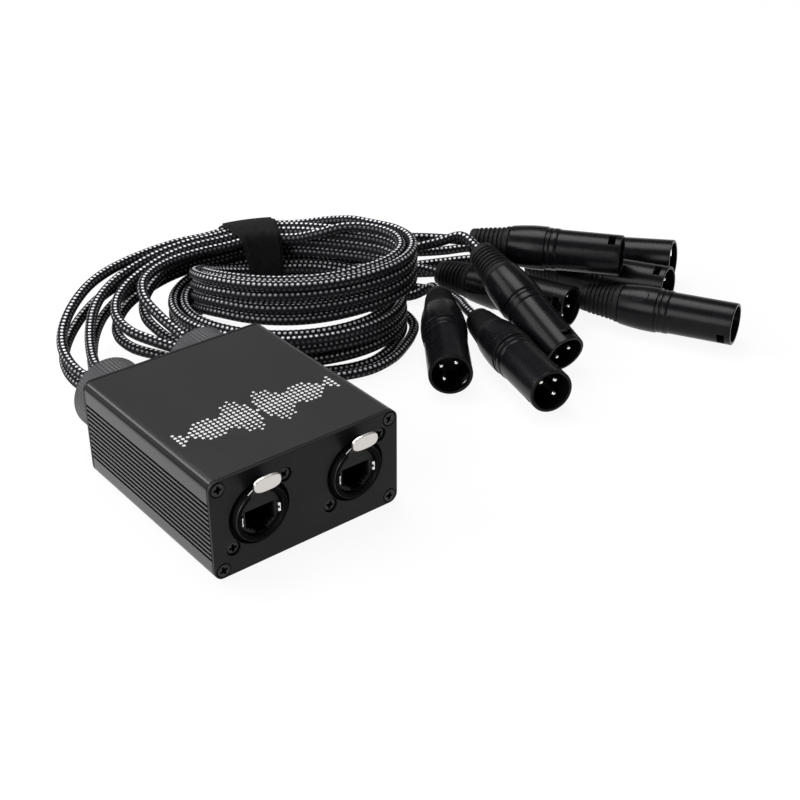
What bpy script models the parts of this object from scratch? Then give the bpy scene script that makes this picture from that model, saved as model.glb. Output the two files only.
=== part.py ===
"""Network breakout box: an extruded case with two network sockets in front and two cable
glands behind. Eight braided leads leave the glands, lie in a strapped coil and end in
three-pin plugs. Units are metres, +Z is up, the sockets face -Y, and the origin is at the
bottom centre of the case and its glands."""

import math

import bmesh
import bpy
from mathutils import Matrix, Vector

MM = 0.001

# Running and seating gap between neighbouring pieces.
GAP = 0.3 * MM

# Case: one extruded tube closed by two flat panels.
CASE_WIDTH = 80.0 * MM
CASE_HEIGHT = 40.0 * MM
CASE_LENGTH = 88.0 * MM
PANEL_THICKNESS = 1.5 * MM
CORNER_RADIUS = 3.5 * MM
TOP_WALL = 2.0 * MM
SIDE_WALL = 2.8 * MM
RIB_COUNT = 12
RIB_PITCH = 2.05 * MM
RIB_GROOVE_DEPTH = 0.9 * MM
RIB_BAND_BOTTOM = 7.6 * MM
BOARD_SLOT_DEPTH = 1.1 * MM

# Corner screws, which run into solid posts of the extrusion.
POST_SIZE = 6.2 * MM
CORNER_INSET_X = 3.6 * MM
CORNER_INSET_Z = 3.3 * MM
SCREW_HEAD_RADIUS = 2.5 * MM
SCREW_SHANK_RADIUS = 1.15 * MM
SCREW_BORE_RADIUS = 1.6 * MM
SCREW_LENGTH = 9.0 * MM
RECESS_ARM = 1.5 * MM
RECESS_WIDTH = 0.55 * MM
RECESS_DEPTH = 0.8 * MM

# Network sockets: a round locking shell behind the panel around a jack.
SOCKET_SPACING = 41.3 * MM
SOCKET_HEIGHT = 21.2 * MM
SOCKET_HOLE_RADIUS = 12.4 * MM
SOCKET_RING_RADIUS = 10.6 * MM
SOCKET_RING_INNER = 8.9 * MM
SOCKET_DEPTH = 18.0 * MM
SOCKET_PROUD = 2.0 * MM
FLANGE_HALF_WIDTH = 12.7 * MM
FLANGE_HALF_HEIGHT = 13.6 * MM
FLANGE_THICKNESS = 2.0 * MM
SOCKET_SCREW_X = 11.2 * MM
SOCKET_SCREW_Z = 10.6 * MM
SOCKET_SCREW_LENGTH = 6.0 * MM
JACK_RADIUS = 8.5 * MM
JACK_BELOW_RING = 1.8 * MM
JACK_GROOVE_DEPTH = 9.0 * MM
JACK_DEPTH = 14.0 * MM
JACK_FOOT_LENGTH = 13.0 * MM
JACK_MOUTH_WIDTH = 11.9 * MM
JACK_MOUTH_HEIGHT = 6.8 * MM
JACK_MOUTH_TOP = 2.2 * MM
JACK_SHOULDER_WIDTH = 9.2 * MM
JACK_STEP_WIDTH = 6.4 * MM
JACK_TONGUE_WIDTH = 4.2 * MM
JACK_STEP_HEIGHT = 1.0 * MM
JACK_MOUTH_DEPTH = 12.0 * MM

# Release tab of each socket: an oval plate on a bent arm, pushed in towards the case.
TAB_HALF_WIDTH = 5.7 * MM
TAB_HALF_HEIGHT = 3.1 * MM
TAB_THICKNESS = 1.3 * MM
TAB_PROUD = 6.6 * MM
TAB_RAISE = 15.4 * MM
TAB_TRAVEL = 1.2 * MM
ARM_CLEARANCE = 0.45 * MM
ARM_HALF_WIDTH = 4.4 * MM
ARM_THICKNESS = 1.0 * MM
ARM_RAISE = 9.3 * MM
ARM_LENGTH = 9.0 * MM

# Circuit board that carries the two jacks.
BOARD_THICKNESS = 1.6 * MM
BOARD_LENGTH = 52.0 * MM
BOARD_TOP = 12.0 * MM

# Cable glands in the rear panel.
GLAND_HEIGHT = CASE_HEIGHT / 2
GLAND_STUB_RADIUS = 9.7 * MM
GLAND_STUB_LENGTH = 8.0 * MM
GLAND_FLANGE_RADIUS = 13.4 * MM
GLAND_FLANGE_THICKNESS = 2.0 * MM
GLAND_CAP_RADIUS = 15.2 * MM
GLAND_CAP_CHAMFER = 2.2 * MM
GLAND_LENGTH = 21.0 * MM
GLAND_MOUTH_RADIUS = 7.6 * MM
GLAND_COLLAR_RADIUS = 11.4 * MM
GLAND_COLLAR_LENGTH = 13.0 * MM
GLAND_BORE_RADIUS = 8.7 * MM
LOCKNUT_RADIUS = 13.0 * MM
LOCKNUT_THICKNESS = 3.5 * MM

# Braided leads, and their coil: an oval stack in two layers, each four leads high and two
# wide. Its long axis points to the right and to the front, at COIL_TURN.
LEAD_DIAMETER = 4.5 * MM
LEAD_PITCH = 4.97 * MM
LEAD_SIDE_PITCH = 5.2 * MM
LEAD_LIFT = 2.5 * MM
LEADS_PER_GLAND = 4
COIL_CENTRE = Vector((90.0, 81.8, 0.0)) * MM
COIL_TURN = math.radians(-38.8)
COIL_HALF_LENGTH = 44.0 * MM
COIL_HALF_WIDTH = 31.5 * MM
COIL_POINTS_PER_LOOP = 24
COIL_ENTRY = 138.0
# The two lowest leads lie loose on the floor in the second turn: travel in degrees, and how
# far they are out, in widths of the pair.
FLOOR_LOOP = [(438.0, 0.0), (500.0, 0.52), (512.0, 0.52), (562.0, 1.42), (628.0, 1.0)]
STRAP_ANGLE = 116.0

# Under the strap, the top lead of each column has slipped down its outer side.
SLIP_ANGLE = 100.0
SLIP_RADIUS = 1.05 * LEAD_PITCH

# Strap round the coil.
STRAP_HALF_WIDTH = 11.0 * MM
STRAP_THICKNESS = 0.9 * MM

# Plugs: cable boot, tapered handle and round shell with three contacts.
PLUG_LENGTH = 72.0 * MM
BOOT_LENGTH = 19.4 * MM
BOOT_RADIUS = 6.3 * MM
BOOT_END_RADIUS = 8.6 * MM
BOOT_RIBS = 4
BOOT_STUB_RADIUS = 3.7 * MM
BOOT_STUB_LENGTH = 8.0 * MM
HANDLE_START_RADIUS = 9.2 * MM
HANDLE_RADIUS = 10.3 * MM
HANDLE_END = 37.5 * MM
SHELL_START = 43.0 * MM
SHELL_RADIUS = 9.5 * MM
SHELL_WALL = 1.4 * MM
INSERT_START = 48.0 * MM
INSERT_LENGTH = 9.0 * MM
PIN_RADIUS = 1.2 * MM
PIN_LENGTH = 12.0 * MM
PIN_CIRCLE = 4.6 * MM
WINDOW_START = 66.0 * MM
WINDOW_LENGTH = 3.4 * MM
WINDOW_WIDTH = 6.0 * MM

# Planes along the case. The total length, tab to gland cap, is centred on the origin.
TOTAL_LENGTH = TAB_PROUD + CASE_LENGTH + GLAND_LENGTH
FRONT = -TOTAL_LENGTH / 2 + TAB_PROUD
REAR = FRONT + CASE_LENGTH
TUBE_FRONT = FRONT + PANEL_THICKNESS + GAP
TUBE_REAR = REAR - PANEL_THICKNESS - GAP
SOCKET_X = (-SOCKET_SPACING / 2, SOCKET_SPACING / 2)
SIDES = ("left", "right")

# Each gland's bundle, from its seal to the coil: the line of its middle, and how far the
# two pairs of leads stand apart from it on both sides.
LEFT_BUNDLE = [
    (-20.65, 57.5, 20.0, 0.0), (-20.8, 72.8, 20.0, 1.5), (-16.0, 90.8, 20.5, 3.2),
    (-7.0, 105.8, 22.0, 2.6), (4.0, 117.8, 24.0, 1.2), (18.0, 127.3, 26.0, 0.4),
    (35.0, 132.1, 28.2, 0.0), (50.0, 133.4, 30.0, 0.0), (64.0, 132.8, 31.0, 0.0),
]
RIGHT_BUNDLE = [
    (20.65, 57.5, 20.0, 0.0), (18.3, 71.8, 21.0, 2.2), (14.5, 86.8, 22.5, 4.8),
    (15.5, 101.3, 24.0, 4.4), (24.0, 114.3, 26.0, 2.3), (37.0, 123.1, 28.2, 0.6),
    (51.0, 127.4, 30.2, 0.0), (65.0, 127.8, 31.0, 0.0),
]
# How the four leads of a bundle lie in it, sideways and up, in lead pitches: as a square in
# the gland, staggered on the way, and as a column where they join the coil.
SQUARE = [(0.5, -0.5), (-0.5, -0.5), (0.5, 0.5), (-0.5, 0.5)]
STAGGER = [(0.45, -1.2), (-0.42, -0.58), (0.42, 0.5), (-0.45, 1.2)]
COLUMN = [(0.0, -1.5), (0.0, -0.5), (0.0, 0.5), (-1.05, 0.31)]

# The plugs: number, cable end, mouth, roll of the contacts in degrees, column and row of the
# lead in the coil, the coil angle where the lead leaves, and its way on to the plug.
PLUGS = [
    (1, (178.4, 65.3, 26.2), (218.6, 5.6, 28.3), 18.0, 1, 3, 86.0,
     [(140.0, 101.3, 24.0), (156.0, 89.3, 26.0)]),
    (2, (222.7, 69.5, 7.2), (257.7, 6.9, 14.6), 276.0, 1, 2, 100.0,
     [(136.0, 117.3, 13.0), (165.0, 110.3, 8.0), (190.0, 101.3, 5.0), (206.0, 91.8, 6.0)]),
    (3, (210.3, 57.6, 8.2), (235.4, -9.7, 13.2), 18.0, 1, 1, 96.0,
     [(138.0, 110.8, 7.5), (162.0, 101.8, 4.0), (184.0, 90.8, 4.5), (198.0, 79.3, 6.5)]),
    (4, (167.7, 74.7, 9.3), (187.1, 5.4, 12.0), 64.0, 0, 2, 80.0,
     [(138.0, 98.3, 9.8), (151.0, 94.8, 7.5)]),
    (5, (167.1, 46.2, 30.5), (156.5, -21.8, 9.4), 351.0, 0, 3, 74.0,
     [(140.0, 89.3, 20.5), (152.0, 79.3, 24.5), (162.0, 69.3, 29.0)]),
    (6, (148.1, 25.5, 9.9), (127.2, -43.4, 11.3), 133.0, 0, 1, 72.0,
     [(142.0, 86.3, 6.5), (152.5, 76.3, 5.5), (159.3, 64.8, 5.5), (159.0, 51.8, 6.5)]),
    (7, (147.7, 52.2, 11.2), (105.1, -5.9, 10.5), 238.0, 0, 0, 66.0,
     [(139.5, 80.8, 2.6), (149.0, 72.3, 4.0)]),
    (8, (202.0, 12.9, 9.7), (232.2, -52.4, 11.7), 120.0, 1, 0, 92.0,
     [(140.0, 104.8, 3.6), (163.0, 94.8, 2.8), (181.0, 81.8, 2.8), (191.0, 64.8, 3.2),
      (193.5, 44.8, 6.0)]),
]

# Finishes: colour, roughness and metallic value.
FINISHES = {
    "anodised": ((0.035, 0.035, 0.038), 0.45, 0.6),
    "panel": ((0.02, 0.02, 0.021), 0.45, 0.3),
    "black_screw": ((0.015, 0.015, 0.016), 0.35, 0.6),
    "socket_black": ((0.012, 0.012, 0.013), 0.5, 0.0),
    "nickel": ((0.62, 0.60, 0.57), 0.35, 1.0),
    "board": ((0.02, 0.09, 0.04), 0.5, 0.0),
    "gland_black": ((0.05, 0.05, 0.055), 0.5, 0.0),
    "seal_rubber": ((0.02, 0.02, 0.02), 0.8, 0.0),
    "braid": ((0.012, 0.012, 0.015), 0.8, 0.0),
    "strap": ((0.008, 0.008, 0.008), 0.95, 0.0),
    "plug_black": ((0.02, 0.02, 0.022), 0.4, 0.3),
    "boot_black": ((0.012, 0.012, 0.013), 0.6, 0.0),
    "contact": ((0.75, 0.73, 0.68), 0.25, 1.0),
}


def clear_scene():
    for obj in list(bpy.data.objects):
        bpy.data.objects.remove(obj, do_unlink=True)


def finish(name):
    material = bpy.data.materials.get(name)
    if material:
        return material
    colour, roughness, metallic = FINISHES[name]
    material = bpy.data.materials.new(name)
    material.use_nodes = True
    shader = material.node_tree.nodes["Principled BSDF"]
    shader.inputs["Base Color"].default_value = (*colour, 1.0)
    shader.inputs["Roughness"].default_value = roughness
    shader.inputs["Metallic"].default_value = metallic
    return material


def link(name, data, material_name):
    obj = bpy.data.objects.new(name, data)
    bpy.context.scene.collection.objects.link(obj)
    data.materials.append(finish(material_name))
    return obj


def object_from_bmesh(name, shape, material_name, smooth_angle=35.0):
    bmesh.ops.recalc_face_normals(shape, faces=shape.faces)
    mesh = bpy.data.meshes.new(name)
    shape.to_mesh(mesh)
    shape.free()
    mesh.shade_smooth()
    mesh.set_sharp_from_angle(angle=math.radians(smooth_angle))
    return link(name, mesh, material_name)


def prism(name, outline, low, high, material_name):
    """A flat outline of (x, z) points, extruded along Y from low to high."""
    shape = bmesh.new()
    bottom = [shape.verts.new((x, low, z)) for x, z in outline]
    face = shape.faces.new(bottom)
    extruded = bmesh.ops.extrude_face_region(shape, geom=[face])
    moved = [v for v in extruded["geom"] if isinstance(v, bmesh.types.BMVert)]
    bmesh.ops.translate(shape, verts=moved, vec=(0.0, high - low, 0.0))
    return object_from_bmesh(name, shape, material_name)


def turned(name, profile, segments, material_name, closed=False, smooth_angle=35.0):
    """A profile of (along, radius) points turned round the local X axis. A closed profile
    is a tube; an open one ends in points or flat caps on the axis."""
    shape = bmesh.new()
    rings = []
    for along, radius in profile:
        ring = []
        for step in range(segments):
            angle = 2 * math.pi * step / segments
            ring.append(shape.verts.new(
                (along, radius * math.cos(angle), radius * math.sin(angle))))
        rings.append(ring)
    pairs = list(zip(rings, rings[1:]))
    if closed:
        pairs.append((rings[-1], rings[0]))
    else:
        shape.faces.new(rings[0])
        shape.faces.new(rings[-1])
    for first, second in pairs:
        for step in range(segments):
            following = (step + 1) % segments
            shape.faces.new((first[step], first[following], second[following], second[step]))
    return object_from_bmesh(name, shape, material_name, smooth_angle)


def frame_along(start, direction, roll=0.0):
    """A placing matrix whose X axis runs along direction, with Z as near to up as can be."""
    x = Vector(direction).normalized()
    y = Vector((0.0, 0.0, 1.0)).cross(x).normalized()
    z = x.cross(y)
    turn = Matrix((x, y, z)).transposed().to_4x4()
    return Matrix.Translation(start) @ turn @ Matrix.Rotation(roll, 4, "X")


def gather(name, matrix, pieces):
    """Parents pieces, built in world coordinates, to an empty at the given place."""
    empty = bpy.data.objects.new(name, None)
    empty.empty_display_size = 5.0 * MM
    bpy.context.scene.collection.objects.link(empty)
    empty.matrix_world = matrix
    for piece in pieces:
        piece.data.transform(matrix.inverted())
        piece.parent = empty
    return empty


def set_origin(obj, point):
    """Moves an object's origin without moving the object."""
    obj.data.transform(Matrix.Translation(-Vector(point)))
    obj.location = point


def own_materials():
    """Each piece ends with a material of its own, named after it."""
    for obj in bpy.context.scene.objects:
        if obj.type == "EMPTY":
            continue
        own = obj.data.materials[0].copy()
        own.name = obj.name
        obj.data.materials.clear()
        obj.data.materials.append(own)
        if obj.type == "MESH":
            for face in obj.data.polygons:
                face.material_index = 0


def place(obj, matrix):
    """Moves the mesh itself, so that cutters and pieces share world coordinates."""
    obj.data.transform(matrix)
    return obj


def along_y(obj, x, y, z):
    """Puts a turned piece on an axis along +Y through (x, y, z)."""
    return place(obj, frame_along((x, y, z), (0.0, 1.0, 0.0)))


def box(name, low, high, material_name="panel"):
    outline = [(low[0], low[2]), (high[0], low[2]), (high[0], high[2]), (low[0], high[2])]
    return prism(name, outline, low[1], high[1], material_name)


def combine(target, tools, operation):
    """Applies Booleans in turn, and removes the tools."""
    for tool in tools:
        modifier = target.modifiers.new("combine", "BOOLEAN")
        modifier.operation = operation
        modifier.solver = "EXACT"
        modifier.object = tool
        bpy.context.view_layer.update()
        graph = bpy.context.evaluated_depsgraph_get()
        result = bpy.data.meshes.new_from_object(target.evaluated_get(graph))
        target.modifiers.remove(modifier)
        target.data = result
    for tool in tools:
        bpy.data.objects.remove(tool, do_unlink=True)
    target.data.set_sharp_from_angle(angle=math.radians(35.0))
    return target


def cut(target, *tools):
    return combine(target, tools, "DIFFERENCE")


def join(target, *tools):
    return combine(target, tools, "UNION")


def rounded_outline(half_width, low, high, radius, steps=3):
    """A rectangle with round corners, counterclockwise from its lower right corner."""
    points = []
    centres = [
        (half_width - radius, low + radius, -90.0),
        (half_width - radius, high - radius, 0.0),
        (-half_width + radius, high - radius, 90.0),
        (-half_width + radius, low + radius, 180.0),
    ]
    for x, z, first in centres:
        for step in range(steps + 1):
            angle = math.radians(first + 90.0 * step / steps)
            points.append((x + radius * math.cos(angle), z + radius * math.sin(angle)))
    return points


def oval_outline(x, z, half_width, half_height, count=16):
    """A tab outline: round at both ends, fuller than an ellipse."""
    points = []
    for step in range(count):
        angle = 2 * math.pi * step / count
        c = math.cos(angle)
        s = math.sin(angle)
        points.append((x + half_width * math.copysign(abs(c) ** 0.8, c),
                       z + half_height * math.copysign(abs(s) ** 0.8, s)))
    return points


def corner_places():
    """The four corner screw axes as (x, z)."""
    x = CASE_WIDTH / 2 - CORNER_INSET_X
    return [(sx * x, z) for z in (CORNER_INSET_Z, CASE_HEIGHT - CORNER_INSET_Z) for sx in (-1, 1)]


def case_outline():
    """The tube's outer section, with grooves between the ribs of both sides."""
    half = CASE_WIDTH / 2
    corners = rounded_outline(half, 0.0, CASE_HEIGHT, CORNER_RADIUS)
    quarter = len(corners) // 4
    right = []
    for rib in range(RIB_COUNT):
        base = RIB_BAND_BOTTOM + rib * RIB_PITCH
        right += [
            (half, base),
            (half - RIB_GROOVE_DEPTH, base + 0.12 * RIB_PITCH),
            (half - RIB_GROOVE_DEPTH, base + 0.45 * RIB_PITCH),
            (half, base + 0.57 * RIB_PITCH),
        ]
    left = [(-x, z) for x, z in reversed(right)]
    return corners[:quarter] + right + corners[quarter:3 * quarter] + left + corners[3 * quarter:]


def board_bottom():
    return BOARD_TOP - BOARD_THICKNESS


def case_cavity():
    """The tube's hollow: a rectangle less the four corner posts, plus the board's slots."""
    half = CASE_WIDTH / 2 - SIDE_WALL
    low = TOP_WALL
    high = CASE_HEIGHT - TOP_WALL
    post_x = CASE_WIDTH / 2 - POST_SIZE
    post_low = POST_SIZE
    post_high = CASE_HEIGHT - POST_SIZE
    slot_low = board_bottom() - GAP
    slot_high = BOARD_TOP + GAP
    slot = half + BOARD_SLOT_DEPTH
    right = [
        (post_x, low), (post_x, post_low), (half, post_low), (half, slot_low),
        (slot, slot_low), (slot, slot_high), (half, slot_high), (half, post_high),
        (post_x, post_high), (post_x, high),
    ]
    left = [(-x, z) for x, z in reversed(right)]
    return right + left


def build_case():
    margin = 1.0 * MM
    tube = prism("enclosure_shell", case_outline(), TUBE_FRONT, TUBE_REAR, "anodised")
    hollow = prism("hollow", case_cavity(), TUBE_FRONT - margin, TUBE_REAR + margin, "anodised")
    holes = []
    length = TUBE_REAR - TUBE_FRONT
    for x, z in corner_places():
        bore = turned("bore", [(-margin, SCREW_BORE_RADIUS),
                               (length + margin, SCREW_BORE_RADIUS)], 8, "anodised")
        holes.append(along_y(bore, x, TUBE_FRONT, z))
    return cut(tube, hollow, *holes)


def countersink(x, z, face, inward):
    """The conical hole of a corner screw, from the panel's outer face inwards."""
    over = 0.5 * MM
    slope = (SCREW_HEAD_RADIUS - SCREW_SHANK_RADIUS) / PANEL_THICKNESS
    wide = SCREW_HEAD_RADIUS + 1.5 * GAP + over * slope
    narrow = SCREW_BORE_RADIUS
    cone = turned("cone", [(-over, wide), (PANEL_THICKNESS, narrow),
                           (PANEL_THICKNESS + over, narrow)], 12, "panel")
    return place(cone, frame_along((x, face, z), (0.0, inward, 0.0)))


def build_front_panel():
    outline = rounded_outline(CASE_WIDTH / 2, 0.0, CASE_HEIGHT, CORNER_RADIUS)
    panel = prism("front_panel", outline, FRONT, FRONT + PANEL_THICKNESS, "panel")
    cutters = [countersink(x, z, FRONT, 1.0) for x, z in corner_places()]
    past = 1.0 * MM
    for x in SOCKET_X:
        hole = turned("hole", [(-past, SOCKET_HOLE_RADIUS),
                               (PANEL_THICKNESS + past, SOCKET_HOLE_RADIUS)], 28, "panel")
        cutters.append(along_y(hole, x, FRONT, SOCKET_HEIGHT))
        for sign in (-1, 1):
            clear = SCREW_HEAD_RADIUS + GAP
            bore = turned("bore", [(-past, clear), (PANEL_THICKNESS + past, clear)], 12, "panel")
            cutters.append(along_y(bore, x + sign * SOCKET_SCREW_X, FRONT,
                                   SOCKET_HEIGHT + sign * SOCKET_SCREW_Z))
    return cut(panel, *cutters)


def build_rear_panel():
    outline = rounded_outline(CASE_WIDTH / 2, 0.0, CASE_HEIGHT, CORNER_RADIUS)
    panel = prism("rear_panel", outline, REAR - PANEL_THICKNESS, REAR, "panel")
    cutters = [countersink(x, z, REAR, -1.0) for x, z in corner_places()]
    past = 1.0 * MM
    for x in SOCKET_X:
        radius = GLAND_STUB_RADIUS + GAP
        hole = turned("hole", [(-past, radius), (PANEL_THICKNESS + past, radius)], 24, "panel")
        cutters.append(along_y(hole, x, REAR - PANEL_THICKNESS, GLAND_HEIGHT))
    return cut(panel, *cutters)


def cross_recess(x, y, z):
    """Two crossed bars that cut a screw's drive recess into its -Y face."""
    depth = RECESS_DEPTH
    over = 0.5 * MM
    wide = box("wide", (x - RECESS_ARM, y - over, z - RECESS_WIDTH / 2),
               (x + RECESS_ARM, y + depth, z + RECESS_WIDTH / 2))
    tall = box("tall", (x - RECESS_WIDTH / 2, y - over, z - RECESS_ARM),
               (x + RECESS_WIDTH / 2, y + depth, z + RECESS_ARM))
    return wide, tall


def build_front_screws():
    screws = []
    for number, (x, z) in enumerate(corner_places(), 1):
        profile = [(0.0, SCREW_HEAD_RADIUS), (PANEL_THICKNESS, SCREW_SHANK_RADIUS),
                   (SCREW_LENGTH, SCREW_SHANK_RADIUS)]
        screw = along_y(turned(f"front_panel_screw_{number}", profile, 12, "black_screw"),
                        x, FRONT, z)
        screws.append(cut(screw, *cross_recess(x, FRONT, z)))
    return screws


def flange_front():
    return FRONT + PANEL_THICKNESS + GAP


def build_socket(side, x):
    """The locking shell: a flange behind the panel, and a ring that stands in its hole."""
    z = SOCKET_HEIGHT
    outer = SOCKET_RING_RADIUS
    inner = SOCKET_RING_INNER
    seat = JACK_RADIUS + GAP
    ring_front = FRONT - SOCKET_PROUD
    groove_end = ring_front + JACK_GROOVE_DEPTH
    back = flange_front() + SOCKET_DEPTH
    profile = [(ring_front, outer), (back, outer), (back, seat), (groove_end, seat),
               (groove_end, inner), (ring_front, inner)]
    name = f"socket_{side}_shell"
    shell = along_y(turned(name, profile, 24, "socket_black", closed=True), x, 0.0, z)
    flange = box("flange", (x - FLANGE_HALF_WIDTH, flange_front(), z - FLANGE_HALF_HEIGHT),
                 (x + FLANGE_HALF_WIDTH, flange_front() + FLANGE_THICKNESS,
                  z + FLANGE_HALF_HEIGHT))
    middle = (inner + outer) / 2
    past = 1.0 * MM
    core = turned("core", [(flange_front() - past, middle),
                           (flange_front() + FLANGE_THICKNESS + past, middle)],
                  24, "socket_black")
    cut(flange, along_y(core, x, 0.0, z))
    join(shell, flange)
    half = ARM_HALF_WIDTH + ARM_CLEARANCE
    slot = box("slot", (x - half, ring_front - past, z + inner - 2.0 * MM),
               (x + half, FRONT + ARM_LENGTH + TAB_TRAVEL + past,
                z + FLANGE_HALF_HEIGHT + past))
    cutters = [slot]
    for sign in (-1, 1):
        bore = turned("bore", [(-past, SCREW_BORE_RADIUS),
                               (FLANGE_THICKNESS + past, SCREW_BORE_RADIUS)], 8, "panel")
        cutters.append(along_y(bore, x + sign * SOCKET_SCREW_X, flange_front(),
                               z + sign * SOCKET_SCREW_Z))
    return cut(shell, *cutters)


def build_latch(side, x):
    """The release tab: a straight arm just inside the ring's top, which bends up in front
    of the panel to an oval plate. Its origin is on the line that it slides along."""
    front = FRONT - TAB_PROUD
    middle = SOCKET_HEIGHT + TAB_RAISE
    tab = prism(f"socket_{side}_latch", oval_outline(x, middle, TAB_HALF_WIDTH, TAB_HALF_HEIGHT),
                front, front + TAB_THICKNESS, "nickel")
    inside = front + TAB_THICKNESS / 2
    low = SOCKET_HEIGHT + ARM_RAISE
    high = low + ARM_THICKNESS
    bend = FRONT - 1.9 * MM
    join_low = middle - 1.9 * MM
    side_view = [(FRONT + ARM_LENGTH, low), (FRONT + ARM_LENGTH, high),
                 (bend + 0.4 * MM, high), (inside, join_low + 1.4 * MM),
                 (inside, join_low), (bend, low)]
    arm = prism("arm", side_view, -ARM_HALF_WIDTH, ARM_HALF_WIDTH, "nickel")
    place(arm, Matrix.Translation((x, 0.0, 0.0)) @ Matrix.Rotation(math.radians(90.0), 4, "Z"))
    join(tab, arm)
    set_origin(tab, (x, FRONT, middle))
    return tab


def build_socket_screws(side, x):
    screws = []
    for number, sign in enumerate((-1, 1), 1):
        sx = x + sign * SOCKET_SCREW_X
        sz = SOCKET_HEIGHT + sign * SOCKET_SCREW_Z
        seat = flange_front() - GAP
        head = 1.2 * MM
        profile = [(0.0, SCREW_HEAD_RADIUS - 0.3 * MM), (0.35 * MM, SCREW_HEAD_RADIUS),
                   (head, SCREW_HEAD_RADIUS), (head, SCREW_SHANK_RADIUS),
                   (SOCKET_SCREW_LENGTH, SCREW_SHANK_RADIUS)]
        name = f"socket_{side}_screw_{number}"
        screw = along_y(turned(name, profile, 12, "black_screw"), sx, seat - head, sz)
        screws.append(cut(screw, *cross_recess(sx, seat - head, sz)))
    return screws


def build_jack(side, x):
    """The jack: a round front with the stepped mouth, and a foot down to the board."""
    z = SOCKET_HEIGHT
    front = FRONT - SOCKET_PROUD + JACK_BELOW_RING
    back = flange_front() + SOCKET_DEPTH + 2.0 * MM
    name = f"socket_{side}_jack"
    jack = along_y(turned(name, [(front, JACK_RADIUS), (back, JACK_RADIUS)], 24,
                          "socket_black"), x, 0.0, z)
    lap = 1.0 * MM
    foot = box("foot", (x - JACK_RADIUS, back - lap, BOARD_TOP + GAP),
               (x + JACK_RADIUS, back + JACK_FOOT_LENGTH, z + JACK_RADIUS * 0.8))
    join(jack, foot)
    top = z + JACK_MOUTH_TOP
    low = top - JACK_MOUTH_HEIGHT
    half = JACK_MOUTH_WIDTH / 2
    shoulder = JACK_SHOULDER_WIDTH / 2
    step = JACK_STEP_WIDTH / 2
    below = low - JACK_STEP_HEIGHT
    lowest = below - JACK_STEP_HEIGHT
    tongue = JACK_TONGUE_WIDTH / 2
    right = [(x + tongue, lowest - JACK_STEP_HEIGHT), (x + tongue, lowest), (x + step, lowest),
             (x + step, below), (x + shoulder, below), (x + shoulder, low),
             (x + half, low), (x + half, top)]
    outline = right + [(2 * x - px, z) for px, z in reversed(right)]
    mouth = prism("mouth", outline, front - lap, front + JACK_MOUTH_DEPTH, "socket_black")
    return cut(jack, mouth)


def build_board():
    half = CASE_WIDTH / 2 - SIDE_WALL + BOARD_SLOT_DEPTH - GAP
    start = flange_front() + SOCKET_DEPTH + GAP
    return box("circuit_board", (-half, start, board_bottom()),
               (half, start + BOARD_LENGTH, BOARD_TOP), "board")


def build_gland(side, x):
    """Body with its thread and collar, seal, ribbed cap and inner nut, turned round Y."""
    z = GLAND_HEIGHT
    stub = REAR - PANEL_THICKNESS - GLAND_STUB_LENGTH
    flange = REAR + GAP
    collar = flange + GLAND_FLANGE_THICKNESS
    collar_end = collar + GLAND_COLLAR_LENGTH
    end = REAR + GLAND_LENGTH
    bore = GLAND_BORE_RADIUS
    throat = bore - 1.5 * MM
    seal_start = collar + 3.0 * MM
    body = [(stub, GLAND_STUB_RADIUS), (flange, GLAND_STUB_RADIUS),
            (flange, GLAND_FLANGE_RADIUS), (collar, GLAND_FLANGE_RADIUS),
            (collar, GLAND_COLLAR_RADIUS), (collar_end, GLAND_COLLAR_RADIUS),
            (collar_end, bore), (seal_start, bore), (seal_start, throat), (stub, throat)]
    body = along_y(turned(f"gland_{side}_body", body, 20, "gland_black", closed=True), x, 0.0, z)

    mouth_wall = 2.4 * MM
    inner = GLAND_COLLAR_RADIUS + GAP
    cap = [(collar + GAP, GLAND_CAP_RADIUS), (end - GLAND_CAP_CHAMFER, GLAND_CAP_RADIUS),
           (end, GLAND_CAP_RADIUS - GLAND_CAP_CHAMFER), (end, GLAND_MOUTH_RADIUS),
           (end - mouth_wall, GLAND_MOUTH_RADIUS), (collar_end + GAP, inner),
           (collar + GAP, inner)]
    cap = along_y(turned(f"gland_{side}_cap", cap, 28, "gland_black", closed=True), x, 0.0, z)

    face = seal_face()
    radius = GLAND_MOUTH_RADIUS - GAP
    seal = [(seal_start + GAP, bore - GAP), (collar_end, bore - GAP), (collar_end, radius),
            (face, radius)]
    seal = along_y(turned(f"gland_{side}_seal", seal, 20, "seal_rubber"), x, 0.0, z)

    nut = prism(f"gland_{side}_locknut", hexagon(x, z, LOCKNUT_RADIUS),
                TUBE_REAR - LOCKNUT_THICKNESS, TUBE_REAR, "gland_black")
    past = 1.0 * MM
    radius = GLAND_STUB_RADIUS + GAP
    bore_cut = turned("bore", [(TUBE_REAR - LOCKNUT_THICKNESS - past, radius),
                               (TUBE_REAR + past, radius)], 24, "gland_black")
    cut(nut, along_y(bore_cut, x, 0.0, z))
    gather(f"gland_{side}", Matrix.Translation((x, REAR, z)), [body, cap, seal, nut])


def hexagon(x, z, radius):
    return [(x + radius * math.cos(math.radians(60.0 * step)),
             z + radius * math.sin(math.radians(60.0 * step))) for step in range(6)]


def seal_face():
    return REAR + GLAND_LENGTH - 0.6 * MM


def smooth_step(value):
    value = min(1.0, max(0.0, value))
    return value * value * (3.0 - 2.0 * value)


def bump(angle, centre, width):
    """1 at the centre angle and 0 from width degrees away, round the circle."""
    away = abs((angle - centre + 180.0) % 360.0 - 180.0)
    return smooth_step(1.0 - away / width)


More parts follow.
